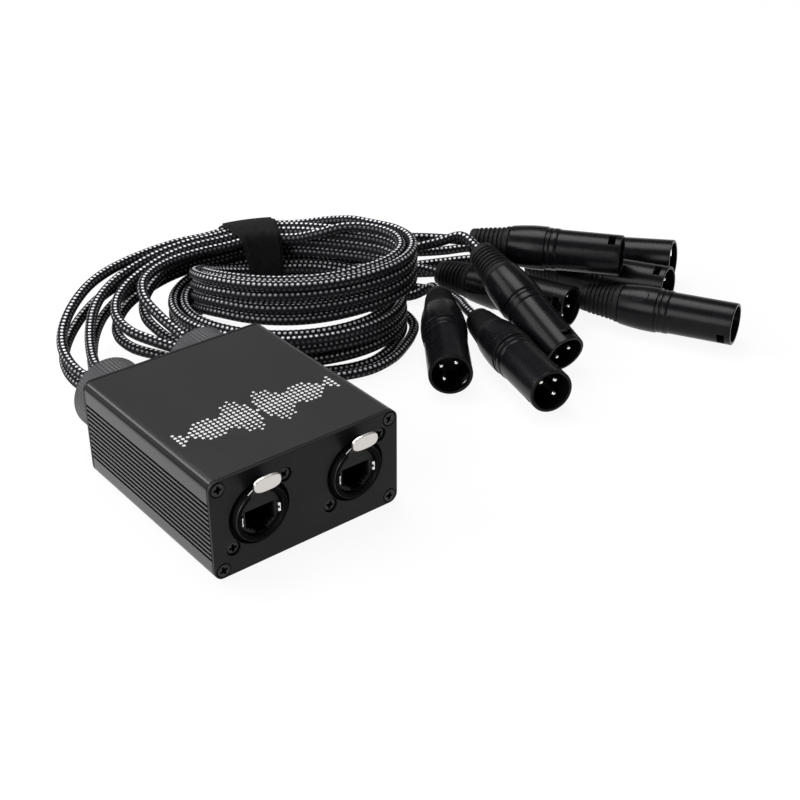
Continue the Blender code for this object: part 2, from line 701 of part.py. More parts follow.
def between(value, table):
    """A smooth reading of a table of (value, result) pairs."""
    if value <= table[0][0]:
        return table[0][1]
    for (x0, y0), (x1, y1) in zip(table, table[1:]):
        if value <= x1:
            return y0 + (y1 - y0) * smooth_step((value - x0) / (x1 - x0))
    return table[-1][1]


def coil_point(travel, column, row):
    """A lead's place in the coil after travel degrees, clockwise from where it enters.

    The first turn lies on top. On the coil's left side it comes down inside the second
    turn, which widens as it goes and ends outside, where the leads leave for the plugs."""
    angle = COIL_ENTRY - travel
    down = smooth_step((travel - 262.0) / 122.0)
    top = 1.0 - down
    front = bump(angle, -72.0, 80.0)
    if row:
        outward = smooth_step((travel - 500.0) / 105.0)
    else:
        outward = between(travel, FLOOR_LOOP)
    block = 2 * LEAD_SIDE_PITCH * (1.0 - smooth_step((travel - 8.0) / 80.0) + outward)
    block += 5.0 * MM * bump(angle, 14.0, 70.0) * top
    loose = 0.9 * MM * math.sin(math.radians(angle * 2 + 70 * row)) * front
    offset = block + (column - 0.5) * LEAD_SIDE_PITCH + loose
    slip = 0.0
    if row == LEADS_PER_GLAND - 1:
        slip = math.radians(SLIP_ANGLE) * (1.0 - smooth_step((travel - 40.0) / 52.0))
    offset += SLIP_RADIUS * math.sin(slip) * (1 if column else -1)
    spread = 1.0 + 0.4 * down * top
    height = LEAD_LIFT + (row * spread + LEADS_PER_GLAND * top) * LEAD_PITCH
    height -= SLIP_RADIUS * (1.0 - math.cos(slip))
    height += (STRAP_THICKNESS + GAP) * bump(angle, STRAP_ANGLE, 70.0) ** 0.5
    height += (5.0 * bump(angle, 20.0, 110.0) + 1.2 * front) * MM * top
    if row > 1:
        height += 1.6 * MM * front
    across = (COIL_HALF_LENGTH + offset) * math.cos(math.radians(angle))
    deep = (COIL_HALF_WIDTH + offset) * math.sin(math.radians(angle))
    right = Vector((math.cos(COIL_TURN), math.sin(COIL_TURN), 0.0))
    away = Vector((-math.sin(COIL_TURN), math.cos(COIL_TURN), 0.0))
    return COIL_CENTRE + right * across + away * deep + Vector((0.0, 0.0, height))


def coil_points(column, row, leaves_at):
    """The coil stretch of a lead, up to the angle where it leaves on its last pass."""
    step = 360.0 / COIL_POINTS_PER_LOOP
    total = 2 * 360.0 + COIL_ENTRY - leaves_at
    count = round(total / step)
    return [coil_point(total * number / count, column, row) for number in range(count + 1)]


def blend_offsets(share, lane):
    """A lead's place in its bundle, from the square in the gland to the coil's column."""
    if share < 0.5:
        first, second, mix = SQUARE[lane], STAGGER[lane], smooth_step(share * 2)
    else:
        first, second, mix = STAGGER[lane], COLUMN[lane], smooth_step(share * 2 - 1)
    return [a + (b - a) * mix for a, b in zip(first, second)]


def bundle_points(line, lane, side):
    """One lead's points from its gland to the coil, beside the bundle's middle line."""
    middle = [Vector(point[:3]) * MM for point in line]
    points = []
    for number, point in enumerate(middle):
        before = middle[max(number - 1, 0)]
        after = middle[min(number + 1, len(middle) - 1)]
        heading = (after - before).normalized()
        if number == 0:
            heading = Vector((0.0, 1.0, 0.0))
        left = Vector((0.0, 0.0, 1.0)).cross(heading).normalized()
        above = heading.cross(left)
        share = number / (len(middle) - 1)
        spread = LEAD_PITCH * (1.0 + 0.09 * math.sin(math.pi * share))
        across, up = blend_offsets(share, lane)
        apart = line[number][3] * MM * (1 if lane % 2 == 0 else -1)
        points.append(point + left * (across * spread + apart) * side + above * up * spread)
    return points


def curve_through(points, spacing):
    """Even steps along a centripetal Catmull-Rom curve through the points. The first and
    last points only steer the curve's ends."""
    fine = []
    for p0, p1, p2, p3 in zip(points, points[1:], points[2:], points[3:]):
        t1 = (p1 - p0).length ** 0.5
        t2 = t1 + (p2 - p1).length ** 0.5
        t3 = t2 + (p3 - p2).length ** 0.5
        pieces = 16
        for piece in range(pieces):
            t = t1 + (t2 - t1) * piece / pieces
            a1 = p0 * ((t1 - t) / t1) + p1 * (t / t1)
            a2 = p1 * ((t2 - t) / (t2 - t1)) + p2 * ((t - t1) / (t2 - t1))
            a3 = p2 * ((t3 - t) / (t3 - t2)) + p3 * ((t - t2) / (t3 - t2))
            b1 = a1 * ((t2 - t) / t2) + a2 * (t / t2)
            b2 = a2 * ((t3 - t) / (t3 - t1)) + a3 * ((t - t1) / (t3 - t1))
            fine.append(b1 * ((t2 - t) / (t2 - t1)) + b2 * ((t - t1) / (t2 - t1)))
    fine.append(points[-2])
    lengths = [0.0]
    for first, second in zip(fine, fine[1:]):
        lengths.append(lengths[-1] + (second - first).length)
    count = max(1, round(lengths[-1] / spacing))
    result = []
    index = 0
    for number in range(count + 1):
        target = lengths[-1] * number / count
        while index < len(fine) - 2 and lengths[index + 1] < target:
            index += 1
        span = lengths[index + 1] - lengths[index]
        share = (target - lengths[index]) / span if span else 0.0
        result.append(fine[index].lerp(fine[index + 1], min(1.0, share)))
    return result


def lead_route(plug):
    """All points of one lead: gland, bundle, coil, and the way to the plug's boot."""
    number, cable_end, mouth, roll, column, row, leaves_at, way = plug
    line = LEFT_BUNDLE if column else RIGHT_BUNDLE
    coil = coil_points(column, row, leaves_at)
    start = bundle_points(line, row, -1 if column else 1)
    start[0].y = seal_face() + GAP
    straight = start[0] + Vector((0.0, LEAD_DIAMETER, 0.0))
    lead_in = curve_through([start[0], straight] + start[1:] + coil[:2], 2.9 * LEAD_DIAMETER)
    direction = (Vector(mouth) - Vector(cable_end)).normalized()
    end = Vector(cable_end) * MM - direction * GAP
    far = [Vector(point) * MM for point in way]
    entry = [end - direction * 2.6 * LEAD_DIAMETER, end - direction * LEAD_DIAMETER]
    lead_out = curve_through(coil[-2:] + far + entry + [end], 2.2 * LEAD_DIAMETER)
    return [start[0]] + lead_in[:-1] + coil + lead_out[1:] + [end]


def build_lead(plug):
    number = plug[0]
    points = lead_route(plug)
    curve = bpy.data.curves.new(f"lead_{number}", "CURVE")
    curve.dimensions = "3D"
    curve.bevel_depth = LEAD_DIAMETER / 2
    curve.bevel_resolution = 1
    curve.use_fill_caps = True
    spline = curve.splines.new("POLY")
    spline.points.add(len(points) - 1)
    for target, point in zip(spline.points, points):
        target.co = (*point, 1.0)
    link(f"lead_{number}", curve, "braid")
    return points


def build_strap():
    """A closed band round every lead at the strap's place, swept along the coil."""
    reach = math.degrees(STRAP_HALF_WIDTH / COIL_HALF_LENGTH)
    stations = 5
    clear = LEAD_DIAMETER / 2 + 1.5 * GAP
    sections = []
    for station in range(stations):
        angle = STRAP_ANGLE - reach + 2 * reach * station / (stations - 1)
        sections.append((angle, coil_section(angle)))
    shape = bmesh.new()
    rings = []
    for angle, (near, far, top) in sections:
        for grow in (0.0, STRAP_THICKNESS):
            rings.append([shape.verts.new(point) for point in
                          band_points(angle, near - clear - grow, far + clear + grow,
                                      STRAP_THICKNESS - grow, top + clear + grow)])
    count = len(rings[0])
    for station in range(stations - 1):
        for layer in (0, 1):
            first = rings[2 * station + layer]
            second = rings[2 * station + 2 + layer]
            for step in range(count):
                following = (step + 1) % count
                shape.faces.new((first[step], first[following],
                                 second[following], second[step]))
    for edge in (0, stations - 1):
        first = rings[2 * edge]
        second = rings[2 * edge + 1]
        for step in range(count):
            following = (step + 1) % count
            shape.faces.new((first[step], first[following], second[following], second[step]))
    object_from_bmesh("cable_strap", shape, "strap")


def coil_section(angle):
    """How far in, out and up the leads' middles reach at one coil angle."""
    offsets = []
    heights = []
    for turn in range(3):
        travel = COIL_ENTRY - angle + 360.0 * turn
        for column in (0, 1):
            for row in range(LEADS_PER_GLAND):
                point = coil_point(travel, column, row)
                flat = point - COIL_CENTRE
                across = flat.x * math.cos(COIL_TURN) + flat.y * math.sin(COIL_TURN)
                offsets.append(across / math.cos(math.radians(angle)) - COIL_HALF_LENGTH)
                heights.append(point.z)
    return min(offsets), max(offsets), max(heights)


def band_points(angle, near, far, low, high):
    """The strap's outline at one coil angle: a rectangle with cut corners."""
    corner = 1.6 * MM
    outline = [(near + corner, low), (far - corner, low), (far, low + corner),
               (far, high - corner), (far - corner, high), (near + corner, high),
               (near, high - corner), (near, low + corner)]
    right = Vector((math.cos(COIL_TURN), math.sin(COIL_TURN), 0.0))
    away = Vector((-math.sin(COIL_TURN), math.cos(COIL_TURN), 0.0))
    c = math.cos(math.radians(angle))
    s = math.sin(math.radians(angle))
    return [COIL_CENTRE + right * (COIL_HALF_LENGTH + offset) * c
            + away * (COIL_HALF_WIDTH + offset) * s + Vector((0.0, 0.0, height))
            for offset, height in outline]


def boot_profile():
    """The ribbed boot, and the stub that holds it in the handle."""
    first = 4.0 * MM
    last = 16.0 * MM
    profile = [(0.0, BOOT_RADIUS - 0.6 * MM), (0.8 * MM, BOOT_RADIUS)]
    pitch = (last - first) / BOOT_RIBS
    groove = 0.7 * MM
    for rib in range(BOOT_RIBS):
        start = first + rib * pitch
        radius = BOOT_RADIUS + (BOOT_END_RADIUS - BOOT_RADIUS) * start / BOOT_LENGTH
        profile += [(start, radius - groove), (start + 0.45 * pitch, radius + 0.15 * MM)]
    profile += [(last, BOOT_END_RADIUS - groove), (last + 0.6 * MM, BOOT_END_RADIUS),
                (BOOT_LENGTH, BOOT_END_RADIUS), (BOOT_LENGTH, BOOT_STUB_RADIUS),
                (BOOT_LENGTH + BOOT_STUB_LENGTH, BOOT_STUB_RADIUS)]
    return profile


def shell_profile():
    """The handle and the round shell, with the bore for the insert and the boot's stub."""
    start = BOOT_LENGTH + GAP
    ring = 0.4 * MM
    inner = SHELL_RADIUS - SHELL_WALL
    rear_bore = BOOT_STUB_RADIUS + GAP
    seat = INSERT_START
    return [
        (start, HANDLE_START_RADIUS), (30.0 * MM, HANDLE_RADIUS),
        (HANDLE_END, HANDLE_RADIUS), (HANDLE_END + 0.6 * MM, SHELL_RADIUS + ring),
        (SHELL_START - ring, SHELL_RADIUS + ring), (SHELL_START, SHELL_RADIUS),
        (PLUG_LENGTH, SHELL_RADIUS), (PLUG_LENGTH, inner), (seat, inner),
        (seat, rear_bore), (start, rear_bore),
    ]


def build_plug(plug):
    number, cable_end, mouth, roll, column, row, leaves_at, way = plug
    start = Vector(cable_end) * MM
    matrix = frame_along(start, Vector(mouth) - Vector(cable_end), math.radians(roll))
    boot = place(turned(f"plug_{number}_boot", boot_profile(), 12, "boot_black"), matrix)

    shell = turned(f"plug_{number}_shell", shell_profile(), 18, "plug_black", closed=True)
    window = box("window", (WINDOW_START, -WINDOW_WIDTH / 2, SHELL_RADIUS - 3 * SHELL_WALL),
                 (WINDOW_START + WINDOW_LENGTH, WINDOW_WIDTH / 2, SHELL_RADIUS + SHELL_WALL))
    place(cut(shell, window), matrix)

    base = INSERT_START + GAP
    face = INSERT_START + INSERT_LENGTH
    radius = SHELL_RADIUS - SHELL_WALL - 1.5 * GAP
    insert = turned(f"plug_{number}_insert", [(base, radius), (face, radius)], 14, "contact")
    pins = []
    lap = 2.0 * MM
    for angle in (90.0, 180.0, 270.0):
        y = PIN_CIRCLE * math.sin(math.radians(angle))
        z = PIN_CIRCLE * math.cos(math.radians(angle))
        pin = turned("pin", [(face - lap, PIN_RADIUS), (face + PIN_LENGTH - 0.5 * MM, PIN_RADIUS),
                             (face + PIN_LENGTH, PIN_RADIUS * 0.5)], 6, "contact")
        pins.append(place(pin, Matrix.Translation((0.0, y, z))))
    place(join(insert, *pins), matrix)
    gather(f"plug_{number}", matrix, [boot, shell, insert])


def least_gap(routes):
    """The smallest gap between any two leads, or turns of one lead, on their points."""
    points = []
    for lead, route in enumerate(routes):
        travelled = 0.0
        previous = route[0]
        for point in route:
            travelled += (point - previous).length
            previous = point
            points.append((point, lead, travelled))
    least = 1.0
    where = None
    for number, (point, lead, travelled) in enumerate(points):
        for other, other_lead, other_travelled in points[number + 1:]:
            if lead == other_lead and other_travelled - travelled < 6 * LEAD_DIAMETER:
                continue
            distance = (point - other).length
            if distance < least:
                least = distance
                where = (lead + 1, other_lead + 1, point)
    return least - LEAD_DIAMETER, where


def main():
    clear_scene()
    body = [build_case(), build_front_panel(), build_rear_panel(), build_board()]
    body += build_front_screws()
    gather("case", Matrix.Identity(4), body)
    for side, x in zip(SIDES, SOCKET_X):
        latch = build_latch(side, x)
        pieces = [build_socket(side, x), build_jack(side, x)] + build_socket_screws(side, x)
        holder = gather(f"socket_{side}", Matrix.Translation((x, FRONT, SOCKET_HEIGHT)), pieces)
        latch.parent = holder
        latch.location -= holder.location
        build_gland(side, x)
    routes = [build_lead(plug) for plug in PLUGS]
    build_strap()
    for plug in PLUGS:
        build_plug(plug)
    own_materials()
    gap, where = least_gap(routes)
    print(f"least gap between leads: {gap * 1000:.2f} mm, {where}")
    for plug, route in zip(PLUGS, routes):
        length = sum((b - a).length for a, b in zip(route, route[1:]))
        lowest = min(point.z for point in route) - LEAD_DIAMETER / 2
        print(f"lead {plug[0]}: {length:.3f} m, {len(route)} points, lowest {lowest * 1000:.2f} mm")


main()
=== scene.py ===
# %% [markdown]
# # A network breakout box with eight braided leads
# The box passes eight stage-lighting lines on through two network sockets. Its CAD pieces and
# joints come in as a frame. Each piece made here is built in metres in the place that the
# frame gives, takes over from a plain CAD piece, and rides on one of the frame's bodies.

# %% The frame and its box
import math

import bmesh
import bpy
from mathutils import Matrix, Vector


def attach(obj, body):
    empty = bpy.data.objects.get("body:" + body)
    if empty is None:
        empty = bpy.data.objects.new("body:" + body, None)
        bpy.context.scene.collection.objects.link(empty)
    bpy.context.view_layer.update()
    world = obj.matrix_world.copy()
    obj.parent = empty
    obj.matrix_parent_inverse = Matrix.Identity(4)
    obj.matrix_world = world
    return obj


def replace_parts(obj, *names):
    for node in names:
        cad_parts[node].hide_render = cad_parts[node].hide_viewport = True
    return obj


MM = 0.001
UP = Vector((0.0, 0.0, 1.0))
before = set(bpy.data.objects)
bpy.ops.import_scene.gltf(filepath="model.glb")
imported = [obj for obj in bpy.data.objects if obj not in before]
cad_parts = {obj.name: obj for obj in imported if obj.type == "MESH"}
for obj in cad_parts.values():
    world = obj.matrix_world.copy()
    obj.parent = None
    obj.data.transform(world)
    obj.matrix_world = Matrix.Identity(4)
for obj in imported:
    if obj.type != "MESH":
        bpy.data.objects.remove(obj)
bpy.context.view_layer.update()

# %% [markdown]
# ## The camera
# The camera's place was solved from the box's edges and its two round sockets in the
# photograph. A camera looks along its own -Z, so its matrix is built from three directions:
# to the right, up, and back from the object. That needs no aiming constraint.

# %% The camera
AZIMUTH = math.radians(-38.83)
ELEVATION = math.radians(30.60)
CAMERA_PLACE = (-0.22757, -0.38531, 0.29644)
camera_data = bpy.data.cameras.new("camera")
camera_data.sensor_width = 36.0
camera_data.lens = 62.26
camera = bpy.data.objects.new("camera", camera_data)
back = Vector((math.sin(AZIMUTH) * math.cos(ELEVATION),
               -math.cos(AZIMUTH) * math.cos(ELEVATION), math.sin(ELEVATION)))
right = Vector((math.cos(AZIMUTH), math.sin(AZIMUTH), 0.0))
turn = Matrix((right, back.cross(right), back)).transposed().to_4x4()
camera.matrix_world = Matrix.Translation(CAMERA_PLACE) @ turn
bpy.context.scene.collection.objects.link(camera)
bpy.context.scene.camera = camera
print("camera", [round(value, 3) for value in camera.location], "lens", camera_data.lens)

# %% [markdown]
# ## Where the leads run
# Four leads leave each gland as a bundle. All eight lie in one oval coil of two turns, and
# each ends in its plug. Their lines follow formulas, so that two leads never meet: a lead has
# a column and a row in the coil, and only its height and its distance from the coil's middle
# change on the way. A hand-drawn curve would look as natural, but it would be hard to keep
# 16 strands apart.

# %% Sizes of the leads and the coil
LEAD_DIAMETER = 4.5 * MM
LEAD_PITCH = 4.97 * MM
LEAD_SIDE_PITCH = 5.2 * MM
LEAD_LIFT = 2.5 * MM
LEADS_PER_GLAND = 4
GAP = 0.3 * MM
COIL_CENTRE = Vector((90.0, 81.8, 0.0)) * MM
COIL_TURN = math.radians(-38.8)
COIL_HALF_LENGTH = 44.0 * MM
COIL_HALF_WIDTH = 31.5 * MM
COIL_ENTRY = 138.0
COIL_TURNS = 2
COIL_STEP = 15.0
# Moves on the way round the coil: where each begins and how long it takes, in degrees.
MOVE_IN = (8.0, 80.0)
MOVE_DOWN = (262.0, 122.0)
MOVE_OUT = (500.0, 105.0)
SLIP_BACK = (40.0, 52.0)
# Places round the coil where leads sag, bulge or lift: the middle and the half width.
FRONT_SAG = (-72.0, 80.0)
SIDE_BULGE = (14.0, 70.0)
SIDE_LIFT = (20.0, 110.0)
FLOOR_LOOP = [(438.0, 0.0), (500.0, 0.52), (512.0, 0.52), (562.0, 1.42), (628.0, 1.0)]
STRAP_ANGLE = 116.0
STRAP_LIFT = (STRAP_ANGLE, 70.0)
STRAP_THICKNESS = 0.9 * MM
SLIP_ANGLE = 100.0
SLIP_RADIUS = 1.05 * LEAD_PITCH
SEAL_FACE = 57.2 * MM
LEFT_BUNDLE = [
    (-20.65, 57.5, 20.0, 0.0), (-20.8, 72.8, 20.0, 1.5), (-16.0, 90.8, 20.5, 3.2),
    (-7.0, 105.8, 22.0, 2.6), (4.0, 117.8, 24.0, 1.2), (18.0, 127.3, 26.0, 0.4),
    (35.0, 132.1, 28.2, 0.0), (50.0, 133.4, 30.0, 0.0), (64.0, 132.8, 31.0, 0.0),
]
RIGHT_BUNDLE = [
    (20.65, 57.5, 20.0, 0.0), (18.3, 71.8, 21.0, 2.2), (14.5, 86.8, 22.5, 4.8),
    (15.5, 101.3, 24.0, 4.4), (24.0, 114.3, 26.0, 2.3), (37.0, 123.1, 28.2, 0.6),
    (51.0, 127.4, 30.2, 0.0), (65.0, 127.8, 31.0, 0.0),
]
SQUARE = [(0.5, -0.5), (-0.5, -0.5), (0.5, 0.5), (-0.5, 0.5)]
STAGGER = [(0.45, -1.2), (-0.42, -0.58), (0.42, 0.5), (-0.45, 1.2)]
COLUMN = [(0.0, -1.5), (0.0, -0.5), (0.0, 0.5), (-1.05, 0.31)]
# Number, cable end, mouth, roll, column, row, angle where it leaves the coil, way on.
PLUGS = [
    (1, (178.4, 65.3, 26.2), (218.6, 5.6, 28.3), 18.0, 1, 3, 86.0,
     [(140.0, 101.3, 24.0), (156.0, 89.3, 26.0)]),
    (2, (222.7, 69.5, 7.2), (257.7, 6.9, 14.6), 276.0, 1, 2, 100.0,
     [(136.0, 117.3, 13.0), (165.0, 110.3, 8.0), (190.0, 101.3, 5.0), (206.0, 91.8, 6.0)]),
    (3, (210.3, 57.6, 8.2), (235.4, -9.7, 13.2), 18.0, 1, 1, 96.0,
     [(138.0, 110.8, 7.5), (162.0, 101.8, 4.0), (184.0, 90.8, 4.5), (198.0, 79.3, 6.5)]),
    (4, (167.7, 74.7, 9.3), (187.1, 5.4, 12.0), 64.0, 0, 2, 80.0,
     [(138.0, 98.3, 9.8), (151.0, 94.8, 7.5)]),
    (5, (167.1, 46.2, 30.5), (156.5, -21.8, 9.4), 351.0, 0, 3, 74.0,
     [(140.0, 89.3, 20.5), (152.0, 79.3, 24.5), (162.0, 69.3, 29.0)]),
    (6, (148.1, 25.5, 9.9), (127.2, -43.4, 11.3), 133.0, 0, 1, 72.0,
     [(142.0, 86.3, 6.5), (152.5, 76.3, 5.5), (159.3, 64.8, 5.5), (159.0, 51.8, 6.5)]),
    (7, (147.7, 52.2, 11.2), (105.1, -5.9, 10.5), 238.0, 0, 0, 66.0,
     [(139.5, 80.8, 2.6), (149.0, 72.3, 4.0)]),
    (8, (202.0, 12.9, 9.7), (232.2, -52.4, 11.7), 120.0, 1, 0, 92.0,
     [(140.0, 104.8, 3.6), (163.0, 94.8, 2.8), (181.0, 81.8, 2.8), (191.0, 64.8, 3.2),
      (193.5, 44.8, 6.0)]),
]
print("leads:", len(PLUGS))


# %% Steps, headings and readings of a table
def smooth_step(value):
    value = min(1.0, max(0.0, value))
    return value * value * (3.0 - 2.0 * value)


def moved(travel, move):
    """0 before a move begins, and 1 once it is over."""
    return smooth_step((travel - move[0]) / move[1])


def spread(first, last, steps):
    """Even steps from one value to another, with both of them."""
    return [first + (last - first) * step / steps for step in range(steps + 1)]


def with_headings(line):
    """Each point of a line, with the direction in which the line passes it."""
    for number, point in enumerate(line):
        before = line[max(number - 1, 0)]
        after = line[min(number + 1, len(line) - 1)]
        yield point, (after - before).normalized()


def bump_at(angle, centre, width):
    """1 at the centre angle and 0 from width degrees away, round the circle."""
    away = abs((angle - centre + 180.0) % 360.0 - 180.0)
    return smooth_step(1.0 - away / width)


def between(value, table):
    """A smooth reading of a table of (value, result) pairs."""
    if value <= table[0][0]:
        return table[0][1]
    for (x0, y0), (x1, y1) in zip(table, table[1:]):
        if value <= x1:
            return y0 + (y1 - y0) * smooth_step((value - x0) / (x1 - x0))
    return table[-1][1]


# %% A lead's place in the coil
def coil_place(angle, offset, height):
    """A point at an angle round the oval, offset outwards from its base line."""
    along = Vector((math.cos(COIL_TURN), math.sin(COIL_TURN), 0.0))
    away = Vector((-math.sin(COIL_TURN), math.cos(COIL_TURN), 0.0))
    across = (COIL_HALF_LENGTH + offset) * math.cos(math.radians(angle))
    deep = (COIL_HALF_WIDTH + offset) * math.sin(math.radians(angle))
    return COIL_CENTRE + along * across + away * deep + Vector((0.0, 0.0, height))


def coil_point(travel, column, row):
    """A lead's place after travel degrees, clockwise from where it enters the coil. It comes
    in on the outside, runs round on top, sinks to the floor, and moves outwards there. The
    lead that lies highest first slips down beside its neighbour."""
    angle = COIL_ENTRY - travel
    down = moved(travel, MOVE_DOWN)
    top = 1.0 - down
    front = bump_at(angle, *FRONT_SAG)
    outward = moved(travel, MOVE_OUT) if row else between(travel, FLOOR_LOOP)
    block = 2 * LEAD_SIDE_PITCH * (1.0 - moved(travel, MOVE_IN) + outward)
    block += 5.0 * MM * bump_at(angle, *SIDE_BULGE) * top
    loose = 0.9 * MM * math.sin(math.radians(angle * 2 + 70 * row)) * front
    offset = block + (column - 0.5) * LEAD_SIDE_PITCH + loose
    slip = 0.0
    if row == LEADS_PER_GLAND - 1:
        slip = math.radians(SLIP_ANGLE) * (1.0 - moved(travel, SLIP_BACK))
    offset += SLIP_RADIUS * math.sin(slip) * (1 if column else -1)
    apart = 1.0 + 0.4 * down * top
    height = LEAD_LIFT + (row * apart + LEADS_PER_GLAND * top) * LEAD_PITCH
    height -= SLIP_RADIUS * (1.0 - math.cos(slip))
    height += (STRAP_THICKNESS + GAP) * bump_at(angle, *STRAP_LIFT) ** 0.5
    height += (5.0 * bump_at(angle, *SIDE_LIFT) + 1.2 * front) * MM * top
    if row > 1:
        height += 1.6 * MM * front
    return coil_place(angle, offset, height)


def coil_points(column, row, leaves_at):
    """The coil stretch of a lead, up to the angle where it leaves on its last pass."""
    total = COIL_TURNS * 360.0 + COIL_ENTRY - leaves_at
    return [coil_point(travel, column, row)
            for travel in spread(0.0, total, round(total / COIL_STEP))]


# %% A lead's place in its gland's bundle
def blend_offsets(share, lane):
    """From the square in the gland, past a staggered stack, to the coil's column."""
    if share < 0.5:
        first, second, mix = SQUARE[lane], STAGGER[lane], smooth_step(share * 2)
    else:
        first, second, mix = STAGGER[lane], COLUMN[lane], smooth_step(share * 2 - 1)
    return [a + (b - a) * mix for a, b in zip(first, second)]


def bundle_points(line, lane, side):
    """One of the four leads of a bundle, whose middle runs along the line. The line's fourth
    numbers say how far its two halves part."""
    middle = [Vector(point[:3]) * MM for point in line]
    points = []
    for number, (point, heading) in enumerate(with_headings(middle)):
        if number == 0:
            heading = Vector((0.0, 1.0, 0.0))
        left = UP.cross(heading).normalized()
        above = heading.cross(left)
        share = number / (len(middle) - 1)
        pitch = LEAD_PITCH * (1.0 + 0.09 * math.sin(math.pi * share))
        across, up = blend_offsets(share, lane)
        apart = line[number][3] * MM * (1 if lane % 2 == 0 else -1)
        points.append(point + left * (across * pitch + apart) * side + above * up * pitch)
    return points


# %% One smooth line through a lead's points
CURVE_PIECES = 16
STEP_IN = 2.9 * LEAD_DIAMETER
STEP_OUT = 2.2 * LEAD_DIAMETER
FINE_STEP = 1.6 * MM


def curve_through(points, spacing):
    """Even steps along a centripetal Catmull-Rom curve. The two end points only steer."""
    fine = []
    for p0, p1, p2, p3 in zip(points, points[1:], points[2:], points[3:]):
        t1 = (p1 - p0).length ** 0.5
        t2 = t1 + (p2 - p1).length ** 0.5
        t3 = t2 + (p3 - p2).length ** 0.5
        for t in spread(t1, t2, CURVE_PIECES)[:-1]:
            a1 = p0 * ((t1 - t) / t1) + p1 * (t / t1)
            a2 = p1 * ((t2 - t) / (t2 - t1)) + p2 * ((t - t1) / (t2 - t1))
            a3 = p2 * ((t3 - t) / (t3 - t2)) + p3 * ((t - t2) / (t3 - t2))
            b1 = a1 * ((t2 - t) / t2) + a2 * (t / t2)
            b2 = a2 * ((t3 - t) / (t3 - t1)) + a3 * ((t - t1) / (t3 - t1))
            fine.append(b1 * ((t2 - t) / (t2 - t1)) + b2 * ((t - t1) / (t2 - t1)))
    fine.append(points[-2])
    lengths = [0.0]
    for first, second in zip(fine, fine[1:]):
        lengths.append(lengths[-1] + (second - first).length)
    count = max(1, round(lengths[-1] / spacing))
    result = []
    index = 0
    for number in range(count + 1):
        target = lengths[-1] * number / count
        while index < len(fine) - 2 and lengths[index + 1] < target:
            index += 1
        span = lengths[index + 1] - lengths[index]
        share = (target - lengths[index]) / span if span else 0.0
        result.append(fine[index].lerp(fine[index + 1], min(1.0, share)))
    return result


def lead_route(plug):
    """All points of one lead: gland, bundle, coil, and the way to the plug's boot."""
    cable_end, mouth, _, column, row, leaves_at, way = plug[1:]
    line = LEFT_BUNDLE if column else RIGHT_BUNDLE
    coil = coil_points(column, row, leaves_at)
    start = bundle_points(line, row, -1 if column else 1)
    start[0].y = SEAL_FACE + GAP
    straight = start[0] + Vector((0.0, LEAD_DIAMETER, 0.0))
    lead_in = curve_through([start[0], straight] + start[1:] + coil[:2], STEP_IN)
    direction = (Vector(mouth) - Vector(cable_end)).normalized()
    end = Vector(cable_end) * MM - direction * GAP
    far = [Vector(point) * MM for point in way]
    entry = [end - direction * 2.6 * LEAD_DIAMETER, end - direction * LEAD_DIAMETER]
    lead_out = curve_through(coil[-2:] + far + entry + [end], STEP_OUT)
    return [start[0]] + lead_in[:-1] + coil + lead_out[1:] + [end]


def fine_line(points):
    """A lead's points joined by one smooth curve of finer steps."""
    first = points[0] * 2 - points[1]
    last = points[-1] * 2 - points[-2]
    return curve_through([first] + points + [last], FINE_STEP)


lead_lines = {plug[0]: fine_line(lead_route(plug)) for plug in PLUGS}
lead_lengths = {number: sum((b - a).length for a, b in zip(line, line[1:]))
                for number, line in lead_lines.items()}
print("lead lengths in metres:", {n: round(length, 3) for n, length in lead_lengths.items()})

# %% [markdown]
# ## Maths on sockets
# A finish is a small program that runs for each point of a surface. In Blender it is a tree
# of nodes. Wiring them by hand hides the sums, so one class wraps a socket and lets Python's
# own operators add the Math nodes: `1 - mask` becomes a Subtract node.


# %% A socket that can be reckoned with
class Reading:
    """The output of a node, as a number in an expression."""

    def __init__(self, finish, socket):
        self.finish = finish
        self.socket = socket

    def sum(self, operation, *values):
        return self.finish.node("ShaderNodeMath", {"operation": operation}, values)

    def __add__(self, other):
        return self.sum("ADD", self, other)

    def __sub__(self, other):
        return self.sum("SUBTRACT", self, other)

    def __rsub__(self, other):
        return self.sum("SUBTRACT", other, self)

    def __mul__(self, other):
        return self.sum("MULTIPLY", self, other)

    def __truediv__(self, other):
        return self.sum("DIVIDE", self, other)

    def size(self):
        return self.sum("ABSOLUTE", self)

    def whole(self):
        return self.sum("FLOOR", self)

    def rest(self):
        return self.sum("FRACT", self)

    def above(self, low, high):
        """0 below low, 1 above high, and a smooth step between them."""
        return self.finish.node("ShaderNodeMapRange", {"interpolation_type": "SMOOTHSTEP"},
                                {"Value": self, "From Min": low, "From Max": high})

    def output(self, name):
        return Reading(self.finish, self.socket.node.outputs[name])


